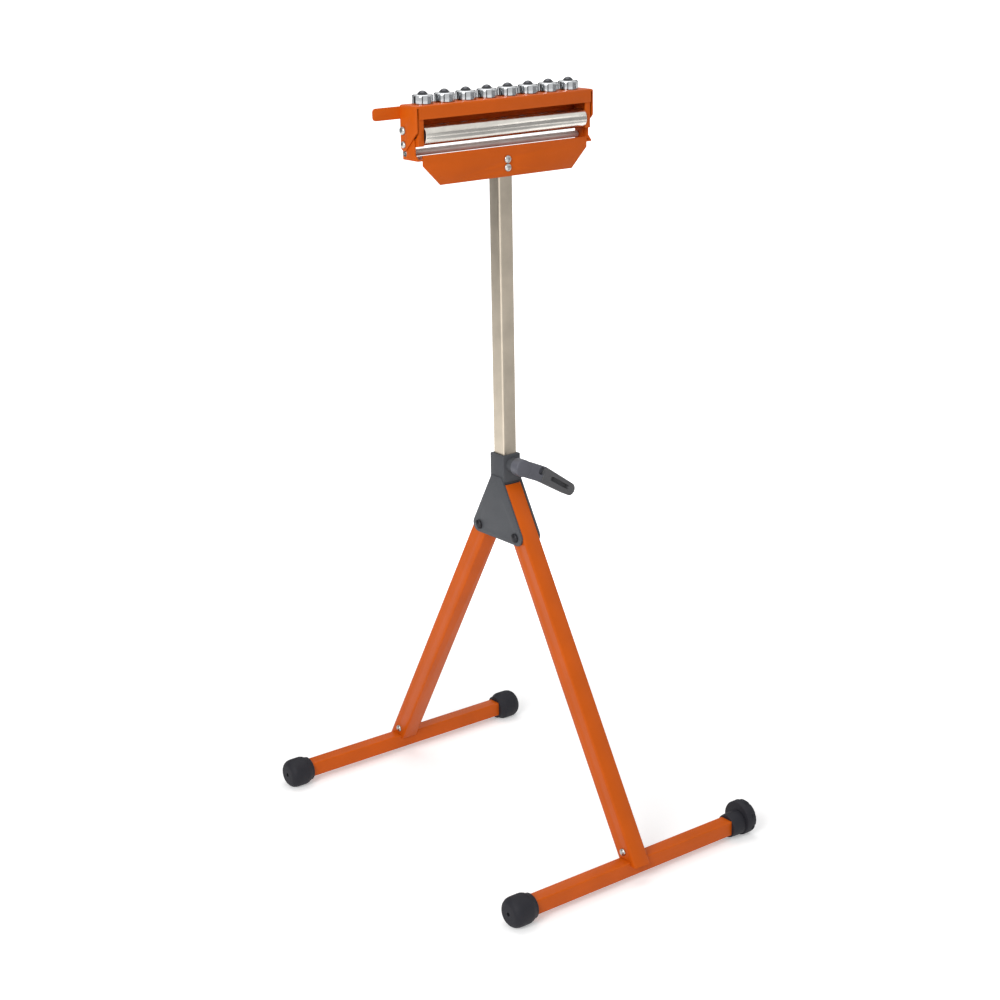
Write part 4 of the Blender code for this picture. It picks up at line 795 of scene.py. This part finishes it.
class STAND_OT_stage(bpy.types.Operator):
    """Make the floor, the lamps, the grey cards, the white surroundings and the camera"""
    bl_idname = "stand.stage"
    bl_label = "Stage"

    def execute(self, context):
        settings = context.scene.stand_stage
        self.make_floor(settings)
        self.make_world(context.scene)
        self.make_lamps()
        self.make_cards()
        self.make_camera(context.scene, settings)
        context.scene.view_settings.view_transform = "Standard"
        return {"FINISHED"}

    def make_floor(self, settings):
        floor = add_primitive("plane", "floor", size=settings.floor_size, location=(0, 0, -FLOOR_DROP))
        made, tree, shader, place = new_material("matt_paper_floor", **{
            "Roughness": 0.9, "Specular IOR Level": 0.1, "Emission Color": (1, 1, 1, 1)})
        fibre = noise(tree, place, 4 * MM)
        tree.links.new(two_tone(tree, fibre.outputs["Fac"], (0.92, 0.92, 0.92), 0.97),
                       shader.inputs["Base Color"])
        # The paper turns pure white away from the stand, and keeps its shadow near it
        reach = add_node(tree, "ShaderNodeVectorMath", {"operation": "LENGTH"}, links={0: place})
        lift = add_node(tree, "ShaderNodeMapRange",
                        values={"From Min": SHADE_START, "From Max": SHADE_END,
                                "To Min": SHADE_LIGHT, "To Max": 1.0},
                        links={"Value": reach.outputs["Value"]})
        shown = add_node(tree, "ShaderNodeMath", {"operation": "MULTIPLY"},
                         links={0: self.seen_directly(tree), 1: lift.outputs[0]})
        tree.links.new(shown.outputs[0], shader.inputs["Emission Strength"])
        floor.data.materials.append(made)

    def seen_directly(self, tree):
        """One for rays from the camera and for those that metal mirrors, else nought."""
        rays = add_node(tree, "ShaderNodeLightPath")
        straight = add_node(tree, "ShaderNodeMath", {"operation": "MAXIMUM"},
                            links={0: rays.outputs["Is Camera Ray"], 1: rays.outputs["Is Glossy Ray"]})
        seen = add_node(tree, "ShaderNodeMath", {"operation": "MAXIMUM"},
                        links={0: straight.outputs[0], 1: rays.outputs["Is Transmission Ray"]})
        return seen.outputs[0]

    def make_world(self, scene):
        world = bpy.data.worlds.new("white_surroundings")
        world.use_nodes = True
        scene.world = world
        tree = world.node_tree
        tree.nodes.clear()
        strength = add_node(tree, "ShaderNodeMapRange", values={"To Min": AMBIENT, "To Max": 1.0},
                            links={"Value": self.seen_directly(tree)})
        sky = add_node(tree, "ShaderNodeBackground", values={"Color": (1, 1, 1, 1)},
                       links={"Strength": strength.outputs[0]})
        add_node(tree, "ShaderNodeOutputWorld", links={"Surface": sky.outputs[0]})

    def make_lamps(self):
        for name, place, size, power in LAMPS:
            bpy.ops.object.light_add(type="AREA", location=place)
            lamp = bpy.context.object
            lamp.name = name
            lamp.data.shape = "DISK"
            lamp.data.size = size
            lamp.data.energy = power
            aim = Vector(LAMP_AIM) - Vector(place)
            lamp.rotation_euler = aim.to_track_quat("-Z", "Y").to_euler()

    def make_cards(self):
        """Grey studio cards, which only metal sees, so that its reflections have some contrast."""
        for name, spot, width, height, colour in CARDS:
            card = add_primitive("plane", name, size=1, location=spot)
            card.scale = (width, height, 1)
            aim = Vector((-spot[0], -spot[1], 0)) if spot[2] > LOW_CARD else Vector((0, 0, 1))
            card.rotation_euler = aim.to_track_quat("Z", "Y").to_euler()
            card.data.materials.append(self.card_paint(name, colour))
            card.visible_camera = False
            card.visible_diffuse = False
            card.visible_shadow = False

    def card_paint(self, name, colour):
        """Matt card of one even grey."""
        made, tree, shader, place = new_material(f"{name}_paper", **{
            "Base Color": (*linear(colour), 1), "Roughness": 0.9, "Specular IOR Level": 0.0})
        return made

    def make_camera(self, scene, settings):
        yaw, pitch, roll = settings.camera_yaw, settings.camera_pitch, settings.camera_roll
        back = Vector((math.sin(yaw) * math.cos(pitch), -math.cos(yaw) * math.cos(pitch),
                       math.sin(pitch)))
        level = (-back).cross(Vector((0, 0, 1))).normalized()
        upright = level.cross(-back)
        right = math.cos(roll) * level + math.sin(roll) * upright
        up = math.cos(roll) * upright - math.sin(roll) * level
        data = bpy.data.cameras.new("camera")
        data.lens = settings.lens
        camera = bpy.data.objects.new("camera", data)
        scene.collection.objects.link(camera)
        turn = Matrix((right, up, back)).transposed().to_4x4()
        camera.matrix_world = Matrix.Translation(settings.camera_place) @ turn
        scene.camera = camera


class STAND_PT_panel(bpy.types.Panel):
    """Lists the stand's operators"""
    bl_idname = "STAND_PT_panel"
    bl_label = "Roller Stand"
    bl_space_type = "VIEW_3D"
    bl_region_type = "UI"
    bl_category = "Roller Stand"

    def draw(self, context):
        for operator in OPERATORS:
            self.layout.operator(operator.bl_idname)


OPERATORS = (STAND_OT_finishes, STAND_OT_tubes, STAND_OT_sheet_metal, STAND_OT_hub, STAND_OT_feet,
             STAND_OT_roller, STAND_OT_ball_units, STAND_OT_fasteners, STAND_OT_stage)
CLASSES = (StageSettings, FinishSettings, *OPERATORS, STAND_PT_panel)


def register():
    for item in CLASSES:
        bpy.utils.register_class(item)
    bpy.types.Scene.stand_stage = bpy.props.PointerProperty(type=StageSettings)
    bpy.types.Scene.stand_finishes = bpy.props.PointerProperty(type=FinishSettings)


def unregister():
    del bpy.types.Scene.stand_finishes
    del bpy.types.Scene.stand_stage
    for item in reversed(CLASSES):
        bpy.utils.unregister_class(item)


def main():
    register()
    bpy.ops.stand.finishes()
    bpy.ops.stand.tubes()
    bpy.ops.stand.sheet_metal()
    bpy.ops.stand.hub()
    bpy.ops.stand.feet()
    bpy.ops.stand.roller()
    bpy.ops.stand.ball_units()
    bpy.ops.stand.fasteners()
    bpy.ops.stand.stage()
    bpy.context.view_layer.update()


if __name__ == "__main__":
    main()
